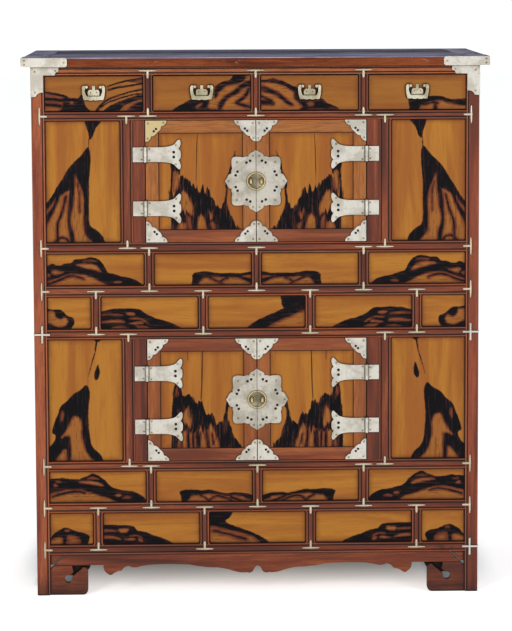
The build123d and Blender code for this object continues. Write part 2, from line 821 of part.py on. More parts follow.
side_panels = both_sides([side_panel(BOTTOM, MIDDLE), side_panel(MIDDLE, TOP)])
side_rails = both_sides([side_rail(*rail_z[row]) for row in through_rails])
side_rails = [rail - side_panels for rail in side_rails]
back_panels = back_boards(BOTTOM, MIDDLE) + back_boards(MIDDLE, TOP)
back_rails = [back_rail(*rail_z[row]) - back_panels for row in through_rails]

housed = front_rails + side_rails + back_rails + front_panels + side_panels + back_panels
front_posts = both_sides([box(-post_x, -inner_x, front_y, side_front_y, 0, case_top)])
rear_posts = both_sides([box(-post_x, -inner_x, -side_front_y, back_y, 0, case_top)])

top_planks = make_planks()

save("front_posts", [post - housed for post in front_posts])
save("rear_posts", [post - housed for post in rear_posts])
save("front_rails", front_rails)
save("front_muntins", muntins)
save("door_jambs", both_sides([jamb(row) for row in door_rows.values()]))
save("flank_panels", flank_panels)
save("row_panels", row_panels)
save("side_and_back_rails", side_rails + back_rails)
save("side_panels", side_panels)
save("back_boards", back_panels)
save("floor_boards", make_floor_boards())
save("drawer_guides", make_drawer_guides())
save("top_planks", top_planks)
save("top_breadboard_ends", make_top_ends(top_planks))
save("apron", [make_apron()])
save("foot_brackets", both_sides([foot_bracket()]))
save("strap_fittings", make_straps())
save("corner_brackets", both_sides([corner_bracket(), top_strap()]
                                   + corner_bracket_nails() + top_strap_nails()))

# ---------------------------------------------------------------- hinges on the case
fixed_leaves = []
hinge_pins = []
for row in door_rows.values():
    for height in hinge_heights(row):
        fixed_leaves.append(fixed_leaf(height))
        fixed_leaves += leaf_nails(height, [(-9, 12)])
        hinge_pins.append(hinge_pin(height))
save("hinge_fixed_leaves", both_sides(fixed_leaves))
save("hinge_pins", both_sides(hinge_pins))

# ---------------------------------------------------------------- doors
for tier, row in door_rows.items():
    parts = {"frame": door_frame(row), "panel": [door_panel(row)],
             "corner_plates": door_corner_plates(row), "lock_plate": lock_plate(row),
             "lock_staple": [lock_staple(row)], "hinge_leaves": moving_leaves(row)}
    for name, pieces in parts.items():
        save(f"{tier}_left_door_{name}", pieces)
        save(f"{tier}_right_door_{name}", mirrored(pieces))

# ---------------------------------------------------------------- drawers
for number, span in enumerate(cells(four_row_x, muntin_w), start=1):
    middle = sum(span) / 2
    save(f"drawer_{number}_front", drawer_front(middle))
    save(f"drawer_{number}_box", drawer_box(middle))
    save(f"drawer_{number}_pull_plate", pull_plate(middle))
    save(f"drawer_{number}_bail", make_bail(middle))
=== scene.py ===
# %% [markdown]
# # A Korean two tier chest
# The chest is one frame of posts and rails, faced with black persimmon: golden wood in which the
# dark heart of the tree has drawn its own figure. Pale white brass holds the joints, the doors and
# the drawers. The CAD model gives every place and size. Here each part gets its real edges, wood
# and metal, in the same frame, and rides on the body that moves it.

import math

import bmesh
import bpy
import numpy as np
from mathutils import Matrix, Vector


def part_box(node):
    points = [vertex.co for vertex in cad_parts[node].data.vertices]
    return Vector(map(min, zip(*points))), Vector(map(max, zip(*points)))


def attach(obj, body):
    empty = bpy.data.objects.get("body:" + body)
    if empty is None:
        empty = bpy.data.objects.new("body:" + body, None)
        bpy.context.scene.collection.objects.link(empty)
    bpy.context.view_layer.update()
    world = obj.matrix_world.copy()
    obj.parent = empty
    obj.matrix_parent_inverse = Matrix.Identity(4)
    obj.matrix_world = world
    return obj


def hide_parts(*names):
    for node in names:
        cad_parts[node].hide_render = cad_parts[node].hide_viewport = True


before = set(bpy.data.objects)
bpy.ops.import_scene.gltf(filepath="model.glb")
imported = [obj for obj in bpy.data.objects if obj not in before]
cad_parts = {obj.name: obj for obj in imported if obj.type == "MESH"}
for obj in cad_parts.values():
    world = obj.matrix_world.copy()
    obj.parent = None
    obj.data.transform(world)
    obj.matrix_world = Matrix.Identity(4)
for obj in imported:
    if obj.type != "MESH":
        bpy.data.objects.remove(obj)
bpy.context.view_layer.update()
MM = 0.001

# %% [markdown]
# ## Camera
# A chest is looked at from in front and a little above its top. A near camera that looks down would
# make the posts lean together. So this one stands well back with a long lens, almost level, and a
# shift of the lens frames the chest.

# %% Camera
CAMERA_PLACE = (-0.132, -6.5, 1.568)
LOOK_DOWN, LOOK_ACROSS, TILT = (math.radians(angle) for angle in (5.92, 1.49, -0.23))
LENS, SENSOR, SHIFT = 145.3, 36.0, (-0.02, -0.14)
scene = bpy.context.scene


def camera_axes(down, across, tilt):
    """Right, up and back of a camera that looks along +Y, turned across, then down, then tilted."""
    ahead = np.array([math.sin(across) * math.cos(down), math.cos(across) * math.cos(down),
                      -math.sin(down)])
    right = np.array([math.cos(across), -math.sin(across), 0.0])
    up = np.cross(right, ahead)
    turned = math.cos(tilt) * right + math.sin(tilt) * up
    return turned, np.cross(turned, ahead), -ahead


def stand(name, data, axes, place):
    """An object at place, its own x, y and z along the three axes: they are its matrix's columns."""
    thing = bpy.data.objects.new(name, data)
    scene.collection.objects.link(thing)
    thing.matrix_world = Matrix([[*(float(a[i]) for a in axes), place[i]] for i in range(3)]
                                + [[0, 0, 0, 1]])
    return thing


camera_data = bpy.data.cameras.new("camera")
camera_data.lens, camera_data.sensor_width = LENS, SENSOR
camera_data.shift_x, camera_data.shift_y = SHIFT
camera = stand("camera", camera_data, camera_axes(LOOK_DOWN, LOOK_ACROSS, TILT), CAMERA_PLACE)
bpy.context.scene.camera = camera
print("camera at", CAMERA_PLACE)

# %% [markdown]
# ## Light
# The chest stands in a white room. Many weak lamps could fill its shadows, but one pale colour of
# the world does that more evenly. It is brighter where the camera sees it than where it lights the
# wood, so the ground stays white and the wood keeps its depth. Two large soft lamps then draw the
# beads and the nails: the key from the left, and a weaker one from the right.

# %% Room light
def put(t, kind, settings=None, sockets=None):
    """A shader node in tree t: its settings, and values or links put in by socket name or number."""
    node = t.nodes.new("ShaderNode" + kind)
    for key, value in (settings or {}).items():
        setattr(node, key, value)
    for key, value in (sockets or {}).items():
        if isinstance(value, bpy.types.NodeSocket):
            t.links.new(value, node.inputs[key])
        else:
            node.inputs[key].default_value = value
    return node


scene.view_settings.view_transform = "Standard"
scene.world = bpy.data.worlds.new("room")
scene.world.use_nodes = True
room = scene.world.node_tree
room.nodes.clear()
SEEN_WHITE, FILL_WHITE = (1, 1, 1, 1), (0.95, 0.97, 1, 1)
seen, fill = (put(room, "Background", None, {"Color": colour, "Strength": strength}).outputs[0]
              for colour, strength in ((SEEN_WHITE, 1.05), (FILL_WHITE, 0.5)))
for_camera = put(room, "LightPath").outputs["Is Camera Ray"]
mixed = put(room, "MixShader", None, {0: for_camera, 1: fill, 2: seen}).outputs[0]
put(room, "OutputWorld", None, {"Surface": mixed})
print("room nodes", len(room.nodes))


# %% Lamps
def lamp(name, place, target, size, power, colour):
    """A square soft lamp at place that faces target: its back points from the target to it."""
    data = bpy.data.lights.new(name, "AREA")
    data.shape, data.size, data.energy, data.color = "SQUARE", size, power, colour
    back = np.array(place, float) - np.array(target, float)
    back /= np.linalg.norm(back)
    right = np.cross((0, 0, 1), back)
    right /= np.linalg.norm(right)
    stand(name, data, (right, np.cross(back, right), back), place)


lamp("key", (-2.6, -4.4, 2.3), (0, 0, 0.75), 1.6, 125, (1.0, 0.97, 0.93))
lamp("side", (3.0, -3.9, 1.7), (0, 0, 0.7), 2.0, 92, (0.95, 0.95, 1.0))
print("lamps", len(bpy.data.lights))

# %% [markdown]
# ## Reading the solids
# Many boards of one kind are kept in one CAD node. They could be placed by typed numbers, but those
# would go out of date with the model. Their triangles are loose, so the points that lie on each
# other are joined first, and then every board is one group of connected points. Its box says where
# the board goes.


# %% Groups of connected points
JOINED = 5e-6


def points_of(mesh):
    """The places of a mesh's points as one array (n, 3)."""
    flat = np.empty(len(mesh.vertices) * 3, np.float32)
    mesh.vertices.foreach_get("co", flat)
    return flat.reshape(-1, 3)


def box_of(node):
    """Lowest and highest corner of a CAD node as arrays."""
    return tuple(np.array(corner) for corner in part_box(node))


def part_labels(count, edges):
    """A number for each point, the same all over one connected part: the lowest index in it."""
    label = np.arange(count)
    while True:
        lower = label.copy()
        np.minimum.at(lower, edges[:, 0], label[edges[:, 1]])
        np.minimum.at(lower, edges[:, 1], label[edges[:, 0]])
        lower = lower[lower]
        if (lower == label).all():
            return label
        label = lower


def solid_mesh(node):
    """Joined points and part numbers of a CAD node."""
    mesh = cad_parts[node].data
    loose = points_of(mesh)
    corners = np.empty(len(mesh.loops), np.int64)
    mesh.loops.foreach_get("vertex_index", corners)
    _, first, back = np.unique(np.round(loose / JOINED).astype(np.int64), axis=0,
                               return_index=True, return_inverse=True)
    triangles = back.reshape(-1)[corners].reshape(-1, 3)
    edges = np.concatenate([triangles[:, [0, 1]], triangles[:, [1, 2]]])
    return loose[first].astype(float), part_labels(len(first), edges)


def solid_boxes(node):
    """Box (lowest corner, highest corner) of each solid of a node, from the floor up and from the left."""
    points, label = solid_mesh(node)
    boxes = [(points[label == k].min(0), points[label == k].max(0)) for k in np.unique(label)]
    return sorted(boxes, key=lambda b: (round(float(b[0][2]), 3), round(float(b[0][0]), 3)))


for node in ("front_rails", "front_muntins", "row_panels", "flank_panels"):
    print(node, len(solid_boxes(node)))

# %% [markdown]
# ## Building surfaces
# A surface is a set of points worked out as whole arrays. Here it is called a shell: points, faces,
# and values on its points that its finish reads. Each closed shell is turned so that its faces
# point outwards, by the sign of its volume.


# %% Shells
def outward(shell):
    """The shell with its faces turned over if its volume, the sum of a.(b x c)/6, is negative."""
    points, volume = shell["points"], 0.0
    for key in ("quads", "tris"):
        faces = shell[key]
        for i in range(1, faces.shape[1] - 1):
            a, b, c = points[faces[:, 0]], points[faces[:, i]], points[faces[:, i + 1]]
            volume += (a * np.cross(b, c)).sum() / 6
    if volume < 0:
        for key in ("quads", "tris"):
            shell[key] = shell[key][:, ::-1]
    return shell


def tube(rings, **values):
    """Closed shell over rings (k, m, 3) of points, with a fan of triangles over each end. A value is
    one number for the whole shell, or one for each point of a ring and 0 at the middles of the ends."""
    count, around = rings.shape[:2]
    index = np.arange(count * around).reshape(count, around)
    quads = np.stack([index[:-1], np.roll(index[:-1], -1, 1), np.roll(index[1:], -1, 1), index[1:]], -1)
    fans = []
    for ring, middle, turn in ((index[0], count * around, 1), (index[-1], count * around + 1, -1)):
        fans.append(np.stack([np.full(around, middle), np.roll(ring, -1), ring], -1)[:, ::turn])
    points = np.concatenate([rings.reshape(-1, 3), [rings[0].mean(0), rings[-1].mean(0)]])
    spread = {key: np.full(len(points), value) if np.isscalar(value)
              else np.concatenate([np.tile(value, count), [0, 0]]) for key, value in values.items()}
    return outward({"points": points, "quads": quads.reshape(-1, 4), "tris": np.concatenate(fans),
                    "values": spread})


def slab(xs, zs, front, back):
    """Closed board: front(x, z) gives y over the grid xs by zs, and its back is flat, at y = back."""
    x, z = np.meshgrid(xs, zs, indexing="ij")
    grid = np.stack([x, front(x, z), z], -1)
    n, m = x.shape
    index = np.arange(n * m).reshape(n, m)
    quads = [np.stack([index[:-1, :-1], index[1:, :-1], index[1:, 1:], index[:-1, 1:]], -1).reshape(-1, 4)]
    rim = np.concatenate([index[:-1, 0], index[-1, :-1], index[:0:-1, -1], index[0, :0:-1]])
    behind = grid.reshape(-1, 3)[rim]
    behind[:, 1] = back
    low = n * m + np.arange(len(rim))
    quads.append(np.stack([rim, low, np.roll(low, -1), np.roll(rim, -1)], -1))
    middle = np.array([[x.mean(), back, z.mean()]])
    tris = np.stack([np.full(len(rim), n * m + len(rim)), np.roll(low, -1), low], -1)
    points = np.concatenate([grid.reshape(-1, 3), behind, middle])
    return outward({"points": points, "quads": np.concatenate(quads), "tris": tris})


print("shells: tube, slab")


# %% Meshes from shells
def mesh_of(name, shells):
    """One mesh from shells: arrays of points and faces put in with foreach_set."""
    points = np.concatenate([s["points"] for s in shells])
    starts = np.cumsum([0] + [len(s["points"]) for s in shells[:-1]])
    quads, tris = (np.concatenate([s[key] + start for s, start in zip(shells, starts)])
                   for key in ("quads", "tris"))
    mesh = bpy.data.meshes.new(name)
    mesh.vertices.add(len(points))
    mesh.vertices.foreach_set("co", points.astype(np.float32).ravel())
    mesh.loops.add(quads.size + tris.size)
    mesh.loops.foreach_set("vertex_index", np.concatenate([quads.ravel(), tris.ravel()]).astype(np.int32))
    mesh.polygons.add(len(quads) + len(tris))
    first = np.concatenate([np.arange(len(quads)) * 4, quads.size + np.arange(len(tris)) * 3])
    mesh.polygons.foreach_set("loop_start", first.astype(np.int32))
    mesh.update(calc_edges=True)
    mesh.validate()
    for key in sorted({key for s in shells for key in s.get("values", {})}):
        value = np.concatenate([s.get("values", {}).get(key, np.zeros(len(s["points"]))) for s in shells])
        mesh.attributes.new(key, "FLOAT", "POINT").data.foreach_set("value", value.astype(np.float32))
    return mesh


def add_fibre(mesh):
    """Point values for wood: "fibre", the place along, across and through each board from its own
    corner, moved on by a random step so that no two boards share their grain, and "tone", 0 to 1."""
    points = points_of(mesh)
    edges = np.empty(len(mesh.edges) * 2, np.int32)
    mesh.edges.foreach_get("vertices", edges)
    label = part_labels(len(points), edges.reshape(-1, 2))
    fibre = np.zeros_like(points)
    tone = np.zeros(len(points), np.float32)
    for k in np.unique(label):
        own = np.flatnonzero(label == k)
        low, high = points[own].min(0), points[own].max(0)
        order = np.argsort(-(high - low), kind="stable")
        seed = np.random.default_rng(int(round(float(np.dot(low + high, (911, 577, 263))) * 1000)) % 2**31)
        fibre[own] = points[own][:, order] - low[order] + seed.uniform(0, 9, 3)
        tone[own] = seed.uniform()
    mesh.attributes.new("fibre", "FLOAT_VECTOR", "POINT").data.foreach_set("vector", fibre.ravel())
    mesh.attributes.new("tone", "FLOAT", "POINT").data.foreach_set("value", tone)


print("point values: fibre, tone")


# %% Finished pieces
def finish_piece(name, mesh, body, nodes, slot, material, sharp=35, wood=True):
    """An object at the origin that rides on a body and stands for CAD nodes. Instead of a mesh it
    takes a list of shells as well."""
    if isinstance(mesh, list):
        mesh = mesh_of(name, mesh)
    if wood:
        add_fibre(mesh)
    mesh.shade_smooth()
    mesh.set_sharp_from_angle(angle=math.radians(sharp))
    mesh.materials.append(material)
    piece = bpy.data.objects.new(name, mesh)
    scene.collection.objects.link(piece)
    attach(piece, body)
    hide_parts(*nodes)
    return piece


DOORS = [(tier, f"{tier}_{side}", f"{tier}_{side}_door", sign)
         for tier in ("lower", "upper") for side, sign in (("left", -1), ("right", 1))]
DRAWERS = [f"drawer_{number}" for number in range(1, 5)]
print("doors", len(DOORS), "drawers", len(DRAWERS))

# %% [markdown]
# ## Node groups that several finishes share
# Wood of every kind has fibres, edges that rub pale and carry a painted highlight, and corners that
# gather dirt and painted shade. Each effect could be wired anew in every material. Here it is a
# group that is built once and placed with its own numbers, and short functions write the other nodes.


# %% A short way to write nodes
SIGNS = {"+": "ADD", "-": "SUBTRACT", "*": "MULTIPLY", "*+": "MULTIPLY_ADD", "max": "MAXIMUM",
         "abs": "ABSOLUTE"}


def calc(t, sign, a, b=0.0, c=0.0):
    return put(t, "Math", {"operation": SIGNS[sign]}, {0: a, 1: b, 2: c}).outputs[0]


def centred(t, value, reach):
    """A value from 0 to 1 spread over -reach to reach."""
    return calc(t, "*+", value, 2 * reach, -reach)


def soft_step(t, value, low, high):
    """0 below low, 1 above high, and smooth between them. With low above high it falls instead."""
    return put(t, "MapRange", {"interpolation_type": "SMOOTHSTEP"},
               {"Value": value, "From Min": low, "From Max": high}).outputs["Result"]


def blend(t, share, a, b):
    """Colour a turning into colour b as share goes from 0 to 1."""
    return put(t, "Mix", {"data_type": "RGBA"}, {0: share, 6: a, 7: b}).outputs[2]


def tint(t, colour, mask, share, other):
    """The colour turned by share towards another where the mask is 1."""
    return blend(t, calc(t, "*", mask, share), colour, other)


def value_of(t, name):
    return put(t, "Attribute", {"attribute_name": name}).outputs["Fac"]


def stretched(t, vector, scale):
    """A place multiplied along each axis: a number under 1 draws a pattern out."""
    return put(t, "VectorMath", {"operation": "MULTIPLY"}, {0: vector, 1: scale}).outputs[0]


def object_place(t):
    return put(t, "TexCoord").outputs["Object"]


def object_axes(t):
    return put(t, "SeparateXYZ", None, {0: object_place(t)}).outputs


def noise(t, vector, scale, detail=3.0, rough=0.55, distort=0.0):
    return put(t, "TexNoise", None,
               {"Vector": vector, "Scale": scale, "Detail": detail, "Roughness": rough,
                "Distortion": distort}).outputs["Fac"]


def rgb(red, green, blue):
    """Linear colour from the 0 to 255 numbers of a paint chart."""
    chart = np.array([red, green, blue]) / 255
    linear = np.where(chart <= 0.04045, chart / 12.92, ((chart + 0.055) / 1.055) ** 2.4)
    return (*(float(v) for v in linear), 1.0)


print("brown", [round(v, 3) for v in rgb(100, 46, 26)])


# %% Fibre, worn and lit edges, dirt and shade
def new_group(name, inputs, outputs):
    """Empty node group. inputs and outputs are (name, type, value) rows."""
    t = bpy.data.node_groups.new(name, "ShaderNodeTree")
    for rows, side in ((inputs, "INPUT"), (outputs, "OUTPUT")):
        for row in rows:
            socket = t.interface.new_socket(row[0], in_out=side, socket_type="NodeSocket" + row[1])
            if len(row) > 2:
                socket.default_value = row[2]
    return t, t.nodes.new("NodeGroupInput").outputs, t.nodes.new("NodeGroupOutput").inputs


def use_group(t, group, **sockets):
    return put(t, "Group", {"node_tree": group}, sockets).outputs


fibre_group, take, give = new_group(
    "wood fibre",
    [("Vector", "Vector"), ("Stretch", "Vector", (0.06, 1.0, 1.0))],
    [("Streak", "Float"), ("Band", "Float"), ("Pore", "Float")])
t = fibre_group
wavy = stretched(t, take["Vector"], take["Stretch"])
t.links.new(noise(t, wavy, 420, 4, 0.6), give["Streak"])
t.links.new(noise(t, wavy, 38, 3, 0.5, 0.6), give["Band"])
t.links.new(soft_step(t, noise(t, wavy, 900, 2, 0.5), 0.64, 0.72), give["Pore"])

# edges, where the rounded normal parts from the flat one: pale wear and a painted highlight
edge_wear_and_highlight, take, give = new_group("edge wear and highlight", [("Width", "Float", 0.0012)], [("Mask", "Float")])
t = edge_wear_and_highlight
flat_normal = put(t, "NewGeometry").outputs["Normal"]
rounded_normal = put(t, "Bevel", {"samples": 4}, {"Radius": take["Width"]}).outputs[0]
likeness = put(t, "VectorMath", {"operation": "DOT_PRODUCT"},
               {0: rounded_normal, 1: flat_normal}).outputs["Value"]
t.links.new(soft_step(t, likeness, 0.99, 0.86), give["Mask"])

# corners and creases, found by occlusion: dirt and painted shade
corner_shade_and_dirt, take, give = new_group("corner shade and dirt", [("Reach", "Float", 0.006)], [("Mask", "Float")])
t = corner_shade_and_dirt
open_air = put(t, "AmbientOcclusion", {"samples": 6, "only_local": False},
               {"Distance": take["Reach"]}).outputs["AO"]
t.links.new(soft_step(t, open_air, 0.96, 0.69), give["Mask"])
print("groups", [g.name for g in bpy.data.node_groups])

# %% [markdown]
# ## Frame wood
# Posts, rails and dividers are a close red brown wood, oiled and handled for a century. A wave
# texture gives plain stripes, which look printed. Noise drawn out along each board's own fibres
# keeps its bands and pores uneven, so that is used. The raised beads are rubbed pale and carry a
# painted highlight, and the grooves hold dark wax and painted shade.


# %% Frame, door and plain woods
def new_material(name):
    material = bpy.data.materials.new(name)
    material.use_nodes = True
    t = material.node_tree
    t.nodes.clear()
    shader = t.nodes.new("ShaderNodeBsdfPrincipled")
    t.links.new(shader.outputs[0], t.nodes.new("ShaderNodeOutputMaterial").inputs["Surface"])
    return material, t, shader


def grained(name):
    """A new material with the place in its board and the grain there."""
    material, t, shader = new_material(name)
    place = put(t, "Attribute", {"attribute_name": "fibre"}).outputs["Vector"]
    return material, t, shader, place, use_group(t, fibre_group, Vector=place)


# corners and creases turn toward the colour of dirt and painted shade
def in_hollows(t, colour, share, dirt_and_shade, **reach):
    return tint(t, colour, use_group(t, corner_shade_and_dirt, **reach)["Mask"], share, dirt_and_shade)


def surface(t, shader, colour, roughness, height, strength, distance):
    """Links colour, roughness and a bump of the height to the shader."""
    bump = put(t, "Bump", None,
               {"Strength": strength, "Distance": distance, "Height": height}).outputs[0]
    for source, socket in ((colour, "Base Color"), (roughness, "Roughness"), (bump, "Normal")):
        t.links.new(source, shader.inputs[socket])


def wood(name, dark, middle, light, worn_and_lit, dirt_and_shade, roughness=0.5, wear_and_highlight=0.5, dirt_and_shade_share=0.95, golden=None):
    """Plain wood: three colours along its bands and streaks, and a pale colour of wear and painted
    highlight on crests and edges. The point value "golden" turns it towards one more colour, it is
    darker near the floor, and grooves and corners take dirt and painted shade."""
    material, t, shader, place, grain = grained(name)
    crest = value_of(t, "crest")
    band = calc(t, "+", grain["Band"], centred(t, value_of(t, "tone"), 0.04))
    colour = blend(t, soft_step(t, band, 0.34, 0.52), dark, middle)
    colour = blend(t, soft_step(t, band, 0.5, 0.68), colour, light)
    if golden:
        colour = blend(t, value_of(t, "golden"), colour, golden)
    colour = tint(t, colour, soft_step(t, grain["Streak"], 0.56, 0.4), 0.45, dark)
    colour = tint(t, colour, grain["Pore"], 0.35, dirt_and_shade)
    # darker towards the floor
    near_floor = calc(t, "*+", noise(t, place, 14, 3), 0.08, object_axes(t)["Z"])
    colour = tint(t, colour, soft_step(t, near_floor, 0.12, 0.03), 0.7, dirt_and_shade)
    knot = soft_step(t, noise(t, place, 11, 2, 0.4), 0.73, 0.78)
    colour = tint(t, colour, knot, 0.6, dirt_and_shade)
    # pale wear and a painted highlight on edges and bead crests
    edge = use_group(t, edge_wear_and_highlight)["Mask"]
    patchy = soft_step(t, noise(t, place, 60, 3), 0.42, 0.6)
    worn_and_lit_mask = calc(t, "max", calc(t, "*", edge, patchy), calc(t, "max", crest, 0.0))
    colour = tint(t, colour, worn_and_lit_mask, wear_and_highlight, worn_and_lit)
    # dirt and painted shade in the grooves and corners
    groove = calc(t, "max", calc(t, "*", crest, -1.0), 0.0)
    dirt_and_shade_mask = calc(t, "max", use_group(t, corner_shade_and_dirt)["Mask"], groove)
    colour = tint(t, colour, dirt_and_shade_mask, dirt_and_shade_share, dirt_and_shade)
    gloss = calc(t, "*+", grain["Streak"], 0.25, roughness - 0.12)
    surface(t, shader, colour, gloss, grain["Streak"], 0.25, 0.0006)
    shader.inputs["Specular IOR Level"].default_value = 0.2
    return material


# in frame wood, "golden" is painted light: only the top rail carries it, under the top's overhang
frame_wood = wood("frame_wood", rgb(66, 30, 19), rgb(100, 46, 26), rgb(126, 64, 33),
                  rgb(146, 82, 52), rgb(16, 7, 8), golden=rgb(156, 92, 52))
post_wood = wood("post_wood", rgb(84, 38, 24), rgb(120, 57, 34), rgb(140, 74, 43),
                 rgb(156, 96, 66), rgb(18, 8, 9))
door_wood = wood("door_wood", rgb(86, 39, 21), rgb(118, 59, 30), rgb(136, 77, 37),
                 rgb(160, 102, 56), rgb(18, 8, 7), golden=rgb(144, 90, 38))
# near black wood: painted shade, in the holes of the plates and behind the slots of the brackets
shade_black_wood = wood("shade_black_wood", rgb(8, 5, 5), rgb(14, 9, 9), rgb(20, 14, 12), rgb(26, 18, 15), rgb(4, 3, 3))
inner_wood = wood("inner_wood", rgb(120, 84, 52), rgb(158, 116, 74), rgb(182, 142, 96),
                  rgb(196, 160, 116), rgb(60, 38, 26), roughness=0.75, wear_and_highlight=0.2, dirt_and_shade_share=0.8)
print("woods", [m.name for m in bpy.data.materials])

# %% [markdown]
# ## Black persimmon
# The doors, panels and drawer fronts are sawn from persimmon whose heart has turned black. Its
# figure looks like ink hills, and boards sawn one after another are set as mirror images on the
# left and the right. Noise alone gives clouds, not hills, so the hills are drawn as outlines in
# millimetres, on the left half of the front: black masses, windows of brown wood, and veins.
#
# BLACK holds shut outlines of ink, x and z in turn. WINDOWS are brown places that show through them,
# each with its lightness. STROKES and CRACKS are lines of x, z and width. The drawer fronts and the
# two middle panels are not mirror images, so they are drawn whole, in the lists that end in ONCE, and
# GROUND_ONCE is brown wood round the ink.

# %% Figure of the flank panels
BLACK, WINDOWS, STROKES, CRACKS = [], [], [], []
BLACK += [
    # upper flank: hanging peak and hill
    [-420, 1196, -419, 1182, -416, 1169, -411, 1157, -409.5, 1148, -408.5, 1138.5, -405.5, 1140, -400, 1146,
     -397, 1157, -393, 1167, -387, 1175, -380, 1182, -374, 1196],
    [-411.5, 1121, -417, 1117, -422, 1109, -430.5, 1098.5, -440, 1090, -448, 1082, -457.5, 1071.5, -466, 1061,
     -471, 1050.5, -477, 1040, -484.5, 1030, -490, 1021.5, -495, 1011, -501, 1002, -509.5, 990, -516, 982,
     -526, 974, -526, 876, -371, 876, -374, 890, -378.5, 901, -387, 910, -395, 917, -403.5, 920.5, -409.5, 928,
     -412, 940, -412, 961, -411.5, 1003, -411.5, 1032, -410, 1048.5, -407.5, 1073.5, -406.5, 1098, -407.5, 1109,
     -410, 1117],
    # lower flank: hill, lens and the foot of a crack
    [-424, 532, -431.5, 522.5, -440, 516, -448, 512, -457, 506.5, -464, 498, -469.5, 491, -478, 484.5,
     -485, 479, -489.5, 471, -493.5, 458, -499, 445.5, -503, 435, -507.5, 422, -509.5, 411.5, -507, 408.5,
     -501.5, 407, -500, 401, -501.5, 393, -507, 384, -514, 376, -526, 368, -526, 331, -380, 331, -383, 342,
     -387, 350.5, -393.5, 359, -402, 365.5, -410.5, 376, -414.5, 388.5, -416.5, 407.5, -419, 428.5, -419, 471,
     -416.5, 490, -414.5, 506.5, -415.5, 517, -419, 525.5],
    [-393.5, 585, -389.7, 570, -389, 559, -392.5, 547, -397.5, 541.5, -402, 544.5, -403, 557, -398, 570],
    [-403, 652, -402, 640, -394, 637, -386, 641, -384, 652],
]
WINDOWS += [
    # upper flank
    (1, [-444, 1057, -438, 1040, -430.5, 1023.5, -425, 1007, -423, 990, -423, 969, -424, 944, -424, 919,
     -421, 905, -412, 894.5, -403.5, 888, -398, 874, -447, 874, -448, 899, -451, 913, -457.5, 930, -457.5, 951,
     -451, 973.5, -450, 990, -447, 1009, -446, 1030]),
    (1, [-456, 1015, -466, 1013, -474, 1006, -480, 1004, -486, 994, -492, 978, -500, 960, -510, 944, -526, 926,
     -526, 874, -456, 874, -459, 900, -463, 921, -464, 940, -463, 961, -461.5, 982, -459, 1003]),
    (0.8, [-492, 1001, -498, 988, -507, 976, -516, 966, -528, 960, -528, 944, -514, 955, -504, 968, -495, 984]),
    # lower flank
    (1, [-454.5, 454, -448, 453, -440, 449.5, -435.5, 439, -432.5, 424.5, -435, 412, -433.5, 397, -429, 380,
     -425, 365, -419, 355, -410, 344, -397, 336, -395, 329, -467, 329, -467, 380, -468, 400, -476, 402,
     -485, 396, -489, 398, -481, 407.5, -475.5, 416, -469.5, 426.5, -464, 439, -459, 449.5]),
    (0.8, [-480, 370, -473.5, 370, -470.5, 355, -469.5, 329, -506, 329, -503, 338, -494.5, 352.5, -486, 363]),
    (0.6, [-484, 470, -479, 463, -479, 448, -486, 436, -488, 452]),
]
STROKES += [
    # upper flank
    [-410, 1141, 1.6, -411, 1119, 1.6],
    [-484, 1010, 6, -488, 996, 4, -493, 980, 3.5, -500, 964, 3, -508, 950, 4, -518, 932, 6],
    [-468, 1000, 2, -472, 980, 3, -478, 959, 3, -486, 940, 3.5, -489.5, 925, 3.5, -489, 905, 3.5, -489, 878, 4],
    [-497, 884, 3, -491, 893, 3, -482, 898, 3, -472, 897, 3, -464, 892, 3, -456, 880, 3],
    [-438, 1030, 0.8, -434, 1000, 1, -434, 960, 0.6],
    # lower flank
    [-468, 398, 5, -468, 370, 8, -468, 333, 7],
    [-395, 645, 4, -398, 631, 3.5, -400, 612, 2.6, -405, 597, 2, -410.5, 578, 1.6, -414.5, 563, 1.3,
     -418, 552, 0.8],
]
print("flank panels", len(BLACK), len(WINDOWS), len(STROKES))

# %% Figure of the doors
BLACK += [
    # upper door
    [-206, 1082, -211, 1074, -209, 1062, -206, 1056, -198, 1056, -190, 1052, -187, 1060, -185.5, 1074,
     -188, 1084],
    [-187, 1050, -184, 1045, -181, 1046, -179, 1043, -172, 1040, -167, 1042, -162.5, 1039, -160.5, 1031.5,
     -155.5, 1023.5, -150.5, 1021.5, -146.5, 1022, -144, 1013.5, -139, 1007, -136, 1013.5, -132.5, 1022.5,
     -130, 1016.5, -127.5, 1011.5, -119, 1013.5, -114, 1008.5, -112, 1000, -109.5, 993.5, -104.5, 994,
     -101, 985, -98, 975.5, -93, 969, -86, 969, -81.5, 975.5, -79, 983.5, -77, 993.5, -74.5, 1007, -74.5, 1017,
     -76.5, 1027, -70, 1030, -69.5, 1018, -70, 1008, -71.5, 998, -73, 990, -73, 977, -69.5, 964, -64.5, 952,
     -60, 939, -53, 932.5, -48, 924, -42.5, 917.5, -38, 904, -211, 904, -205, 960, -203, 1005, -190, 1010],
    # lower door
    [-203, 532, -208.5, 516, -208.5, 491, -211, 474, -212, 452, -213, 400, -213, 356, -200, 356, -200, 398,
     -198, 440, -186, 450, -184, 501, -188, 513, -191, 523, -196, 531],
    [-192, 520, -188, 510, -185, 499.5, -180, 503, -170.5, 504.5, -162, 502, -158.5, 499.5, -157, 492.5,
     -152.5, 488.5, -147, 486, -142.5, 489.5, -139, 489.5, -135, 479, -130, 467, -126.5, 457, -119.5, 455.5,
     -111, 452, -106, 447, -102, 438.5, -97.5, 433.5, -91, 432.5, -86, 438.5, -82.5, 448.5, -80.5, 460.5,
     -78, 472.5, -75.5, 481, -72, 484, -68, 476, -72, 469, -74, 457, -72, 443.5, -69, 431.5, -65.5, 420,
     -60.5, 406.5, -53.5, 394.5, -47, 386, -41.5, 376, -38, 356, -212, 356, -200, 400, -196, 450],
]
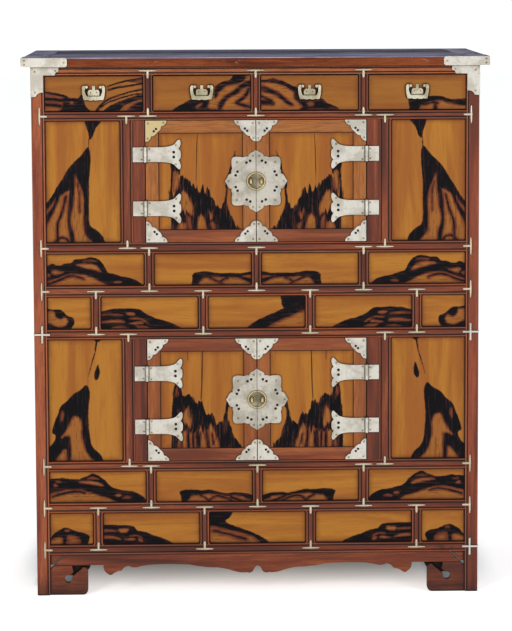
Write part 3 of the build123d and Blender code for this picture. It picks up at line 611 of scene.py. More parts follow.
WINDOWS += [
    # upper door
    (0.7, [-203, 1056, -193, 1054, -190, 1040, -190, 1020, -196, 1006, -203, 1010, -205, 1035]),
    (1, [-175.5, 1010, -184, 1007, -190, 1000, -192, 980, -186, 968, -184.5, 960.5, -175.5, 957, -165.5, 952,
     -159, 945.5, -154, 954, -154, 969, -157.5, 980.5, -161.5, 992, -166.5, 1003.5]),
    (0.7, [-196, 932, -188, 934, -180, 938, -172, 930, -170, 916, -172, 904, -197, 904]),
    (1, [-142.5, 950.5, -132.5, 950.5, -126, 942.5, -122, 930.5, -118, 904, -146, 904, -146.5, 935.5]),
    (0.8, [-116, 965.5, -109.5, 965.5, -106, 954, -109.5, 945.5, -117.5, 945.5]),
    (0.6, [-113, 939, -106, 938, -101, 928, -100, 912, -108, 912, -112, 925]),
    (0.4, [-172, 948, -162, 945, -157, 930, -160, 910, -168, 910, -172, 930]),
    # lower door
    (0.4, [-204, 518, -198, 522, -194, 510, -196, 496, -203, 494]),
    (1, [-177, 472.5, -170.5, 472.5, -167, 459, -163.5, 445, -162, 428.5, -165.5, 420, -170.5, 421.5,
     -177, 426.5, -184, 430, -186, 445, -183, 462]),
    (0.9, [-186, 412, -172, 409, -160, 413, -150, 413, -143.5, 406, -136.5, 420, -133, 418, -126.5, 408,
     -119.5, 426.5, -113, 426.5, -104.5, 415, -101, 403, -97.5, 392.5, -94.5, 381, -92, 354, -198, 354,
     -198, 398]),
]
STROKES += [
    # upper door
    [-206, 1062, 5, -207, 1043, 4, -208.5, 1027, 4.5, -209.5, 1010, 7, -209, 994, 10, -207, 965, 11,
     -203, 944, 12, -203, 925, 12, -204, 906, 12],
    [-50, 1108, 1, -56, 1090, 3, -62, 1067, 6, -67, 1050, 4, -72, 1030, 4],
    # lower door
    [-171, 410, 3, -171, 385, 6, -170, 356, 6],
    [-159, 412, 2, -158, 385, 4, -158, 356, 3],
    [-148.5, 408, 5, -148, 385, 9, -147.5, 356, 9],
    [-142, 398, 2, -143, 370, 2],
    [-126, 412, 4, -124, 390, 5, -121, 356, 6],
    [-112, 400, 2, -108, 375, 2],
    [-206.5, 398, 13, -206.5, 356, 13],
    [-189, 395, 2, -188, 360, 3],
]
CRACKS += [
    [-143, 1158, 1, -145, 1130, 2, -146, 1100, 2.5, -147, 1060, 2, -148, 1020, 1],
    [-240, 1060, 1.5, -238, 1004, 2],
    [-135, 616, 2.5, -136, 560, 3.5, -137, 520, 3, -139, 492, 2.5],
    [-172, 612, 1.5, -171, 590, 1.5],
    [-241, 480, 2, -236, 458, 2],
]
print("doors", len(BLACK), len(WINDOWS), len(STROKES), len(CRACKS))

# %% Figure of the rows of four
BLACK += [
    # upper row of four
    [-526, 828, -515, 828, -510, 830, -505, 833, -500, 832.5, -495, 829, -487, 828.5, -480, 829, -475, 832.5,
     -470, 833.5, -461.5, 833.5, -456, 834, -452.5, 838.5, -448.5, 843.5, -440, 844, -431.5, 844, -425, 845,
     -416.5, 847.5, -406.5, 848.5, -398.5, 847.5, -391.5, 844, -386.5, 841, -381.5, 835, -376.5, 827.5,
     -372.5, 820, -369, 812.5, -365, 809, -355, 807.5, -345, 804, -336.5, 801, -328.5, 798.5, -320, 797.5,
     -311.5, 796, -303.5, 792.5, -295, 790, -288.5, 784, -281.5, 780, -276, 776, -266, 766, -526, 766],
    [-161, 766, -161, 777.5, -159, 785.5, -158, 792.5, -159, 800, -155.5, 806, -149, 809, -140, 810.5,
     -131, 811, -122, 811.5, -113, 810, -104, 808, -95, 807, -84, 806, -71.5, 807, -59, 807, -46.5, 806,
     -35.5, 806, -25, 808.5, -16, 810, -4, 810, -4, 780, -14, 782, -23, 785.5, -32, 790.5, -44.5, 795.5,
     -55, 796, -62.5, 796.5, -80, 797.5, -90, 798, -104, 799, -112, 798, -118.5, 796.5, -127.5, 796.5,
     -133, 794.5, -138, 789, -143.5, 782, -146.5, 777.5, -149, 766],
    # lower row of four
    [-526, 293, -513, 294, -502.5, 295, -492.5, 295, -485.5, 297.5, -478.5, 295, -468, 294, -454, 293,
     -443.5, 293, -437, 295.5, -426.5, 299, -417.5, 303.5, -412.5, 306.5, -409, 307.5, -404, 305.5, -395, 301.5,
     -386.5, 295.5, -378, 289, -371, 280, -365.5, 274, -357, 269.5, -346.5, 267, -333, 263.5, -320.5, 262,
     -310.5, 261, -301.5, 257.5, -293, 253.5, -286, 249, -280, 242, -277, 236.5, -270, 222, -526, 222],
    [-194, 256.5, -194, 260, -188.5, 262, -181.5, 264, -167, 264.5, -152.5, 264, -140, 262, -127.5, 263.5,
     -116.5, 263.5, -106, 261, -95, 257.5, -84, 255, -75, 254, -66, 255.5, -55.5, 256.5, -43, 255.5, -28.5, 254,
     -17.5, 250.5, -4, 246, -4, 238, -14, 241, -23, 244, -35.5, 246.5, -52, 249.5, -62.5, 248.5, -71.5, 246.5,
     -80.5, 247.5, -95, 252, -109.5, 253, -122, 254, -133, 254, -140, 251, -149, 250.5, -163.5, 250,
     -167, 246.5, -170.5, 242, -176, 235, -178, 222, -188, 222, -189.5, 237, -189.5, 244, -191.5, 251],
]
WINDOWS += [
    # upper row of four
    (1.1, [-447, 828.5, -440, 832.5, -430, 833.5, -420, 834, -410, 834, -400, 831.5, -393, 827.5, -388.5, 821.5,
     -383.5, 815, -381.5, 811.5, -390, 812.5, -400, 816, -410, 818.5, -420, 820, -430, 823.5, -440, 826]),
    (0.5, [-430, 840, -420, 841.5, -405, 842, -395, 839, -392, 835, -402, 838, -418, 838, -428, 837.5]),
    (0.9, [-506, 817, -497, 818.5, -488, 816.5, -480, 814, -472, 814, -480, 808.5, -490, 805, -498, 804,
     -504, 807, -508, 812]),
    (0.6, [-526, 808, -516, 809, -508, 807, -507, 802, -516, 799, -526, 800]),
    (1, [-526, 788, -517, 790, -503, 793.5, -490, 797.5, -478, 802.5, -468, 806.5, -458, 808.5, -448, 808,
     -436.5, 807, -423, 806, -413, 801.5, -403, 799, -396.5, 795, -390, 791, -381.5, 786.5, -375, 783.5,
     -370, 780, -361.5, 776.5, -352, 765, -526, 765]),
    (0.8, [-354, 786, -348, 789, -338, 789, -331, 787.5, -333, 784, -343, 783, -352, 783.5]),
    (1, [-149, 765, -143.5, 782, -138, 789, -133, 794.5, -127.5, 796.5, -118.5, 796.5, -104, 799, -90, 798,
     -80, 797.5, -62.5, 796.5, -44.5, 795.5, -32, 790.5, -23, 785.5, -14, 782, -4, 779, -4, 765]),
    (0.6, [-36, 799, -28, 802, -12, 802.5, -4, 801, -4, 790, -14, 793, -24, 795.5, -32, 797]),
    # lower row of four
    (1.1, [-446.5, 286, -438.5, 289, -423, 289.5, -407.5, 288, -395, 285.5, -385, 280, -381.5, 275, -388.5, 274,
     -400.5, 276.5, -416, 279.5, -430, 282, -442, 283.5]),
    (0.6, [-428, 295, -416, 299, -408, 300, -399, 297, -391, 291.5, -400, 292.5, -415, 293.5]),
    (0.5, [-505, 288, -496, 290, -486, 287.5, -488, 284.5, -498, 284.5]),
    (0.9, [-508, 280, -503, 283, -498, 280, -494, 276, -500, 273, -507, 274]),
    (1, [-526, 256, -513, 258.5, -502.5, 261, -490.5, 264.5, -478.5, 267.5, -463, 268.5, -447, 268,
     -433.5, 266.5, -421, 261, -409, 258.5, -398.5, 254, -388.5, 250, -376, 248, -367.5, 244.5, -359, 239.5,
     -350, 234, -340, 221, -526, 221]),
    (0.9, [-356, 251, -350, 256, -342, 256, -338, 252, -342, 248, -350, 247]),
    (0.6, [-338, 246, -328, 250, -316, 248, -312, 244, -324, 242, -336, 242]),
    (1, [-178, 221, -176, 235, -170.5, 242, -167, 246.5, -163.5, 250, -149, 250.5, -140, 251, -133, 254,
     -122, 254, -109.5, 253, -95, 252, -80.5, 247.5, -71.5, 246.5, -62.5, 248.5, -52, 249.5, -35.5, 246.5,
     -23, 244, -14, 241, -4, 238, -4, 221]),
]
STROKES += [
    # upper row of four
    [-515, 783, 3, -500, 787, 3, -485, 793, 3.5, -470, 800, 3.5, -455, 802.5, 3, -440, 800, 2.5, -425, 794, 2],
    [-517, 811.5, 2.5, -510, 811, 2.5, -506.5, 808, 2.5, -503, 803, 2.5],
    [-117, 796, 2.5, -107.5, 792, 2.5, -98.5, 788, 2.5, -89.5, 783.5, 2.5, -84, 780, 2],
    [-89, 787, 2, -84, 790, 2.5, -79, 793, 3, -70, 795, 3],
    # lower row of four
    [-510, 249, 3, -489, 256, 3, -468, 261, 3, -447, 263, 3, -430, 258, 2.5],
    [-142, 249.5, 3, -133, 246, 3, -125.5, 240.5, 3, -120, 234, 3],
    [-120, 236, 3, -115, 242, 3, -107.5, 246.5, 3, -98.5, 248.5, 3, -89.5, 246.5, 3, -79, 243, 3, -68, 238.5, 3,
     -59, 233, 3],
    [-68, 246, 4, -55.5, 240.5, 4, -43, 236, 4, -32, 232, 4],
    [-30, 245, 5, -16, 241, 6, -4, 238, 6],
]
print("rows of four", len(BLACK), len(WINDOWS), len(STROKES))

# %% Figure of the rows of five
BLACK += [
    # upper row of five: eye and hill
    [-526, 722, -518, 722, -509, 720.5, -501, 718.7, -494, 719.5, -487, 719, -481, 716, -476, 711, -470, 705,
     -463, 701, -456, 699.5, -451.5, 694.5, -450, 689, -451.5, 682, -456, 675, -460, 670, -465, 662, -526, 662],
    [-392, 712, -383.5, 713.5, -374, 715.5, -362, 719, -348, 720, -330.5, 720.5, -317, 720, -303, 719.5,
     -292.5, 719, -285.5, 716.5, -278.5, 710, -270, 704, -261.5, 700.5, -252.5, 696.5, -244, 693, -232, 691,
     -221.5, 687.5, -211, 683.5, -200.5, 678, -192, 674, -186.5, 670, -180, 658, -392, 658],
    # lower row of five
    [-526, 140, -513, 147, -508, 155.5, -502.5, 160, -494, 165, -487, 168.5, -482, 171, -473, 170, -466.5, 167,
     -457.5, 163.5, -450.5, 160.5, -442, 158.5, -433.5, 156.5, -426.5, 155, -421, 151.5, -418.5, 147,
     -419.5, 142, -422, 135, -424.5, 128, -428, 118, -526, 118],
    [-392, 176, -382.5, 176, -374, 176.5, -356.5, 176, -339.5, 175.5, -325.5, 175.5, -315, 174, -308, 171.5,
     -304.5, 167, -301, 162, -292.5, 160, -280.5, 158, -271.5, 155, -261.5, 149, -251, 146.5, -240.5, 143.5,
     -230, 138.5, -221.5, 135, -214.5, 131.5, -210, 128, -204, 118, -392, 118],
]
WINDOWS += [
    # upper row of five
    (1.2, [-526, 716, -510, 716, -502, 716, -497.5, 713, -497.5, 706, -494, 699, -488, 695.5, -481, 696.7,
     -477.5, 700.5, -472, 700.5, -468, 696, -465.5, 690, -467, 683, -473, 677, -482, 674.5, -492, 674.5,
     -501, 679, -510, 683, -526, 688]),
    (0.6, [-392, 706, -382.5, 706.5, -365.5, 709.5, -351.5, 708.5, -339.5, 707, -327, 704, -330.5, 702,
     -344.5, 702, -358.5, 702.5, -372.5, 703.5, -392, 702]),
    (1.2, [-325.5, 710, -313.5, 711, -301, 710, -299.5, 706, -302, 702.5, -313.5, 702.5, -322, 705]),
    (0.9, [-392, 689, -379, 688.5, -365.5, 691, -351.5, 693, -339.5, 693, -329, 691, -323.5, 687, -330.5, 683.5,
     -348, 684, -365.5, 684, -392, 684]),
    (0.8, [-320.5, 694.5, -310, 697.5, -297.5, 698, -287.5, 696.5, -278.5, 693, -271.5, 688.5, -265, 683.5,
     -270, 681.5, -277, 686, -284, 691, -296, 693.5, -308, 693]),
    (1.2, [-317, 683.5, -308, 686, -296, 688, -285.5, 688.5, -280.5, 686, -280.5, 681.5, -292.5, 680.5,
     -306.5, 680]),
    (1, [-303, 678, -289, 678, -275, 676.5, -265, 672, -258, 662, -290, 662, -296, 673.5]),
    (0.9, [-366, 662, -362, 671, -351.5, 675.5, -339.5, 676.5, -325.5, 674.5, -315, 671, -306, 662]),
    # lower row of five
    (0.7, [-526, 136, -515, 140, -505, 146, -495, 148, -486, 146, -484, 140, -486, 130, -490, 118, -526, 118]),
    (0.35, [-474, 152, -462, 153, -448, 148, -442, 142, -440, 134, -446, 120, -474, 120, -478, 136, -476, 146]),
    (0.5, [-482, 165, -474, 167, -467, 163, -470, 160, -480, 160]),
    (1.2, [-348, 165.5, -341, 168, -322, 168, -320.5, 164.5, -322, 159.5, -330.5, 155, -343, 155, -346.5, 161]),
    (0.7, [-392, 165, -370, 165, -350, 163, -348, 160, -370, 158.5, -392, 159]),
    (1, [-392, 149, -381, 149, -365.5, 150, -351.5, 146.5, -343, 143, -337.5, 138.5, -348, 139.5, -365.5, 142,
     -392, 141]),
    (0.7, [-323.5, 149, -313.5, 152, -301, 151.5, -291, 148, -285.5, 143, -290, 141, -296, 145.5, -303, 148,
     -317, 146.5]),
    (1.2, [-336, 138.5, -327, 141, -313.5, 143.5, -304.5, 142, -303, 138.5, -313.5, 136, -325.5, 137]),
    (0.9, [-298, 143, -292, 143, -286, 138, -286, 133, -294, 133, -299, 138]),
    (0.8, [-313, 133, -298, 133, -284, 131, -284, 120, -316, 120]),
    (0.6, [-392, 132, -370, 133, -348, 131, -335, 127, -330, 120, -392, 120]),
]
STROKES += [
    # lower row of five
    [-479, 150, 4, -479, 140, 5],
]
print("rows of five", len(BLACK), len(WINDOWS), len(STROKES))

# %% Figure of the middle panels
BLACK_ONCE, WINDOWS_ONCE, GROUND_ONCE, STROKES_ONCE = [], [], [], []
BLACK_ONCE += [
    # middle panels
    [-23.5, 671.5, -17.5, 676, -8.5, 682, 0, 688, 8.5, 692.5, 17.5, 696.5, 26, 700, 34.5, 703.5, 43.5, 707,
     52, 710.5, 57, 714, 62.5, 716.5, 68.5, 717, 64, 723.5, 61.5, 728.5, 62.5, 734, 61.5, 740, 59, 744.5,
     60.5, 749.5, 62, 762, 130, 762, 130, 660, -30, 660],
    [-130, 214, -62, 214, -63.5, 204, -66, 198, -71, 192, -76.5, 188.5, -80.5, 184, -76.5, 179, -69.5, 175.5,
     -60.5, 172, -52, 168.5, -43.5, 166, -34.5, 162.5, -24.5, 159, -15.5, 155.5, -7, 151, 1.5, 147, 10.5, 142.5,
     19, 137.5, 24.5, 133, 28, 128.5, 34, 116, -130, 116],
]
WINDOWS_ONCE += [
    # middle panels
    (0.7, [14, 659, 21, 668, 34.5, 676.5, 48.5, 685.5, 60.5, 690.5, 74.5, 696, 86.5, 701, 99, 707, 112.5, 712.5,
     131, 719, 131, 659]),
    (0.6, [-131, 172, -109, 172, -99, 169.5, -86, 166.5, -73, 162.5, -60.5, 159, -43.5, 155.5, -29.5, 152,
     -19, 148.5, -8.5, 143.5, 0, 136.5, 7, 129, 12, 115, -131, 115]),
]
STROKES_ONCE += [
    # middle panels
    [19, 674, 3, 31, 682, 3, 43.5, 688, 3, 56, 694, 2],
    [-110, 160, 3, -70, 150, 4, -30, 138, 4],
]
print("middle panels", len(BLACK_ONCE), len(WINDOWS_ONCE), len(STROKES_ONCE))

# %% Figure of the drawers
BLACK_ONCE += [
    # first drawer
    [-376, 1201, -375, 1207.5, -365, 1217.5, -353, 1224, -340, 1229, -326.5, 1235, -313, 1240, -298, 1245,
     -283, 1247.5, -266, 1247.5, -266, 1237, -286.5, 1236, -303, 1231, -320, 1224, -328, 1217.5, -333, 1211,
     -336, 1201],
    [-318, 1201, -315, 1209, -310, 1216, -300, 1222.5, -286.5, 1229, -266, 1233, -266, 1201],
    [-474, 1238, -465, 1242.5, -453, 1239, -446.5, 1242.5, -436.5, 1239, -431.5, 1244, -427, 1251, -423, 1246,
     -421.5, 1237.5, -420, 1231, -418, 1224, -413, 1216, -406.5, 1211, -398, 1201, -482, 1201, -476, 1214,
     -470, 1226],
    # second drawer
    [-214, 1201, -204, 1209.5, -199, 1215, -192, 1219, -183.5, 1223.5, -175, 1227.5, -170, 1232, -163, 1234.5,
     -154.5, 1236, -114, 1236, -113, 1231, -117, 1228, -120.5, 1218, -116, 1212, -104, 1211, -80, 1209,
     -80, 1201],
    [-100, 1262.5, -98.5, 1268.5, -97, 1270, -90, 1275, -81.5, 1279.5, -73, 1281, -63, 1283, -58.5, 1288,
     -56, 1295, -55, 1306, -20, 1306, -25.5, 1291.5, -27, 1285.5, -30.5, 1281, -39, 1277, -56, 1275,
     -68, 1272.5, -76.5, 1267.5, -85, 1260.5, -93.5, 1252, -97, 1242, -99.5, 1238.5, -101, 1250],
    [-22, 1201, -16, 1210, -2, 1214, -2, 1201],
    # third drawer
    [2, 1283, 15, 1283, 27, 1283.5, 35.5, 1286, 42.5, 1287.5, 49, 1285.5, 59.5, 1283, 69.5, 1279.5, 80, 1273.5,
     90, 1269, 98.5, 1266, 103.5, 1260.5, 105.5, 1251.5, 107, 1243, 114, 1236, 110.5, 1224, 105.5, 1229,
     97, 1236, 94.5, 1243, 97, 1249.5, 93.5, 1255.5, 86.5, 1260.5, 78, 1266, 68, 1271, 56, 1274.5, 44, 1278.5,
     30.5, 1279.5, 2, 1279.5],
    [105.5, 1230, 110, 1236.5, 158, 1236.5, 163, 1238, 170, 1231, 176.5, 1225, 187, 1221, 195.5, 1217.5,
     202, 1214, 212, 1201, 104, 1201, 112, 1214, 115.5, 1219, 110.5, 1224],
    # fourth drawer
    [378, 1201, 377.5, 1211, 376.5, 1221, 375, 1229, 376.5, 1237.5, 380, 1240, 387, 1240, 413, 1241,
     426.5, 1242, 443.5, 1242, 455, 1242, 461.5, 1240, 470, 1236, 480, 1233.5, 491.5, 1233.5, 503, 1234.5,
     528, 1235.5, 528, 1219, 517, 1219.5, 503, 1220, 491.5, 1222.5, 480, 1225, 466.5, 1228.5, 455, 1232.5,
     445, 1233.5, 433, 1231, 423, 1227.5, 413, 1224.5, 405, 1219.5, 400, 1211, 399, 1201],
]
WINDOWS_ONCE += [
    # first drawer
    (0.8, [-457, 1231, -452, 1234.5, -446, 1232, -446, 1227, -452, 1225.5]),
    # second drawer
    (0.9, [-149.5, 1218, -141, 1225, -131, 1228.5, -129, 1225, -136, 1218, -144.5, 1214.5]),
    # third drawer
    (0.6, [124, 1226, 132, 1231, 142, 1230, 145, 1222, 138, 1217, 128, 1218]),
]
GROUND_ONCE += [
    # first drawer
    (0.7, [-528, 1254, -488, 1252, -466, 1245, -450, 1240, -440, 1240, -470, 1226, -480, 1201, -528, 1201]),
    (0.5, [-318, 1283, -300, 1287, -285, 1290, -266, 1294, -266, 1278, -290, 1279, -306, 1280]),
    (0.8, [-330, 1213, -318, 1222, -300, 1229, -266, 1236, -266, 1230, -300, 1222, -322, 1206]),
    # second drawer
    (1, [-101, 1240, -98, 1262, -88, 1276, -60, 1283, -40, 1282, -24, 1292, -18, 1306, -2, 1306, -2, 1201,
     -120, 1201, -118, 1230, -104, 1226]),
    # third drawer
    (1, [2, 1282, 30, 1283, 60, 1281, 90, 1267, 100, 1255, 98, 1238, 112, 1222, 112, 1201, 2, 1201]),
    # fourth drawer
    (1, [399, 1201, 400, 1211, 405, 1219.5, 413, 1224.5, 423, 1227.5, 433, 1231, 445, 1233.5, 455, 1232.5,
     466.5, 1228.5, 480, 1225, 491.5, 1222.5, 503, 1220, 528, 1219, 528, 1201]),
]
STROKES_ONCE += [
    # first drawer
    [-526, 1256, 5, -513, 1255, 5, -500, 1253, 5, -487, 1251, 5, -473, 1247.5, 5, -463, 1244, 5],
    [-526, 1239, 6, -500, 1239, 6, -487, 1237.5, 6, -475, 1235, 6],
    [-526, 1226, 5, -495, 1224, 5, -478, 1222.5, 5],
    [-392, 1206, 5, -386.5, 1216, 4.5, -381.5, 1221.5, 4.5, -373.5, 1229, 4.5, -365, 1236, 4.5, -353.5, 1241, 4,
     -340, 1246, 4, -323.5, 1251, 3.5, -306.5, 1256, 3.5, -290, 1260, 3.5, -268, 1262, 3.5],
    [-390, 1207, 3, -378.5, 1219, 3, -370, 1226, 3, -360, 1231, 3, -345, 1236.5, 3, -328.5, 1241.5, 3,
     -311.5, 1246.5, 3, -295, 1250, 3, -268, 1251, 3],
    [-360, 1261, 4.5, -348.5, 1264, 5, -336.5, 1267.5, 4.5, -320, 1269, 4, -303, 1271.5, 4, -286.5, 1275, 4.5,
     -268, 1277, 4.5],
    [-361.5, 1269, 2.5, -350, 1274, 3.5, -336.5, 1277.5, 4, -320, 1282.5, 4, -306.5, 1284, 4, -290, 1286, 4,
     -268, 1291, 4],
    # second drawer
    [-88, 1215, 8, -85, 1225, 10, -76.5, 1237, 8, -68, 1243.5, 7, -59.5, 1249, 7, -49, 1254, 8,
     -40.5, 1262.5, 8, -32, 1269, 9, -23.5, 1274, 12, -2, 1274, 14],
    [-47.5, 1228.5, 4, -40.5, 1232, 5, -34, 1237, 5, -25.5, 1243.5, 5, -20.5, 1252, 5, -17, 1261, 6],
    [-47.5, 1228.5, 4, -40.5, 1224, 5, -32, 1221.5, 5, -18.5, 1218, 5, -2, 1214, 7],
    # third drawer
    [2, 1265, 8, 18.5, 1262, 10, 30.5, 1258, 9, 44, 1253, 8, 56, 1248, 7, 63, 1241, 6.5, 71.5, 1233.5, 6,
     80, 1226.5, 5, 88.5, 1223, 3.5],
    [12, 1244, 3, 18.5, 1241, 3.5, 29, 1236, 4, 38, 1231.5, 4],
    [2, 1229, 9, 15, 1229, 9, 30.5, 1227, 8, 42.5, 1225, 5],
    # fourth drawer
    [411, 1221, 2.5, 425, 1224.5, 3, 436.5, 1227, 3, 447, 1224, 3],
    [441, 1219, 6, 441, 1209, 8],
    [428, 1212, 3, 528, 1212, 3],
    # all drawers, along the bottom: painted shadow of the gap below each front, drawn as ink
    [-528, 1210.5, 3.5, -270, 1210.5, 3.5],
    [-262, 1210.5, 3.5, -4, 1210.5, 3.5],
    [4, 1210.5, 4, 262, 1210.5, 4],
]
print("drawers", len(BLACK_ONCE), len(WINDOWS_ONCE), len(GROUND_ONCE), len(STROKES_ONCE))
# %% [markdown]
# ## Distance to an outline
# An image texture could hold the figure, but it would blur when seen near. A value on each point,
# the depth inside an outline, stays sharp: the finish turns it into colour, and its noise frays the
# edge. A point is inside where an odd number of sides lies to its right, and its depth is the
# distance to the nearest side.

# %% Distance to an outline
FAR = 0.03


def smoothed(points, shut):
    """Chaikin's corner cutting, twice: each side gives the points a quarter and three quarters along
    it. From flat rows of millimetres (two numbers a point if shut, else three) to metres."""
    line = np.array(points, float).reshape(-1, 2 if shut else 3) * MM
    for _ in range(2):
        after = np.roll(line, -1, 0) if shut else line[1:]
        before = line if shut else line[:-1]
        cut = np.stack([0.75 * before + 0.25 * after, 0.25 * before + 0.75 * after], 1)
        cut = cut.reshape(-1, line.shape[1])
        line = cut if shut else np.concatenate([line[:1], cut, line[-1:]])
    return line


def nearest(x, z, a, b):
    """Distance to the straight piece from a to b, and how far along it the nearest place is, 0 to 1."""
    run_x, run_z = b[0] - a[0], b[1] - a[1]
    share = ((x - a[0]) * run_x + (z - a[1]) * run_z) / max(run_x**2 + run_z**2, 1e-12)
    share = np.clip(share, 0, 1)
    return np.hypot(x - a[0] - share * run_x, z - a[1] - share * run_z), share


def outline_depth(x, z, line):
    """Depth inside a closed outline, negative outside."""
    away = np.full(x.shape, FAR)
    odd = np.zeros(x.shape, bool)
    for a, b in zip(line, np.roll(line, -1, 0)):
        away = np.minimum(away, nearest(x, z, a, b)[0])
        if a[1] != b[1]:
            crosses = (a[1] > z) != (b[1] > z)
            odd ^= crosses & (x < a[0] + (z - a[1]) / (b[1] - a[1]) * (b[0] - a[0]))
    return np.where(odd, away, -away)


def stroke_depth(x, z, line):
    """Half the stroke's width at its nearest place, less the distance to it."""
    depth = np.full(x.shape, -FAR)
    for a, b in zip(line[:-1], line[1:]):
        away, share = nearest(x, z, a, b)
        depth = np.maximum(depth, (a[2] + share * (b[2] - a[2])) / 2 - away)
    return depth


def deepest(x, z, drawings, low, high, shut):
    """Greatest depth in any of the drawings whose box touches the board."""
    depth = np.full(x.shape, -FAR)
    for points in drawings:
        line = smoothed(points, shut)
        if (line.max(0)[:2] > low).all() and (line.min(0)[:2] < high).all():
            depth = np.maximum(depth, (outline_depth if shut else stroke_depth)(x, z, line))
    return depth


square = np.array([(0, 0), (10, 0), (10, 10), (0, 10)]) * MM
print("depth in a 10 mm square", outline_depth(np.array([0.005, 0.02]), np.array([0.005, 0.005]), square))

# %% [markdown]
# ## Values of one board
# Each board reads the drawings that touch it. On the doors the ink runs into needles up and down the
# fibres: there the drawing is read at a height that jumps by a random step every few millimetres
# across, so that its edges turn ragged while its masses stay.


# %% Values of one board
WINDOW_GROWTH = 0.0007
NEEDLE_WIDTHS = ((0.0045, 5, 0.6), (0.0026, 6, 0.4))  # width, seed and share
NEEDLE_LENGTH = 0.06
OVERLAP = 0.006


def ragged(x, z, width, seed):
    """Needles along the fibres: random heights, one every width across and every NEEDLE_LENGTH along,
    joined by smooth steps 3f^2 - 2f^3. From -1 to 1."""
    table = np.random.default_rng(seed).uniform(-1, 1, (64, 256))
    u, v = x / width, z / NEEDLE_LENGTH
    i, j = np.floor(u).astype(int), np.floor(v).astype(int)
    f, g = ((t * t * (3 - 2 * t)) for t in (u - i, v - j))
    rows = [table[(j + k) % 64, i % 256] * (1 - f) + table[(j + k) % 64, (i + 1) % 256] * f for k in (0, 1)]
    return rows[0] * (1 - g) + rows[1] * g


def figure_values(x, z, low, high, side, needle=0.0):
    """Point values of one board. side -1 reads the left drawing, 1 its mirror image, and 0 only the
    drawings that are not mirrored. "ink" is the depth in black less its windows, "heart" the depth in
    a window or in brown ground, and "light" how fast the brown of that window pales away from ink. The
    ink runs up and down the fibres in needles of that height."""
    if side == 1:
        x, low, high = -x, (-high[0], low[1]), (-low[0], high[1])
    true_z = z
    if needle:
        z = z + needle * sum(share * ragged(x, z, width, seed) for width, seed, share in NEEDLE_WIDTHS)
    low, high = np.array(low) + OVERLAP, np.array(high) - OVERLAP
    black, windows, ground, strokes, cracks = (
        (BLACK, WINDOWS, [], STROKES, CRACKS) if side
        else (BLACK_ONCE, WINDOWS_ONCE, GROUND_ONCE, STROKES_ONCE, []))
    dark = deepest(x, z, black, low, high, True)
    gap = deepest(x, z, [points for _, points in windows], low, high, True)
    heart, light = np.full(x.shape, -FAR), np.ones(x.shape)
    for k, (lightness, points) in enumerate(windows + ground):
        depth = deepest(x, z, [points], low, high, True)
        if k >= len(windows):
            depth = np.minimum(depth, -dark)
        light = np.where(depth > heart, lightness, light)
        heart = np.maximum(heart, depth)
    ink = np.maximum(np.minimum(dark, -gap - WINDOW_GROWTH), deepest(x, z, strokes, low, high, False))
    return {"ink": ink, "heart": heart, "light": light, "crack": deepest(x, true_z, cracks, low, high, False)}


print("needle at 0", ragged(np.zeros(1), np.zeros(1), 0.0045, 5))

# %% [markdown]
# ## The persimmon finish
# Real black persimmon is golden ground, brown heart and black ink, each fading into the next in its
# own way. One colour ramp over the depth would give every edge the same halo. So each layer is laid
# on by its own soft step, from the ground up, and one warp made of three noises frays them all.


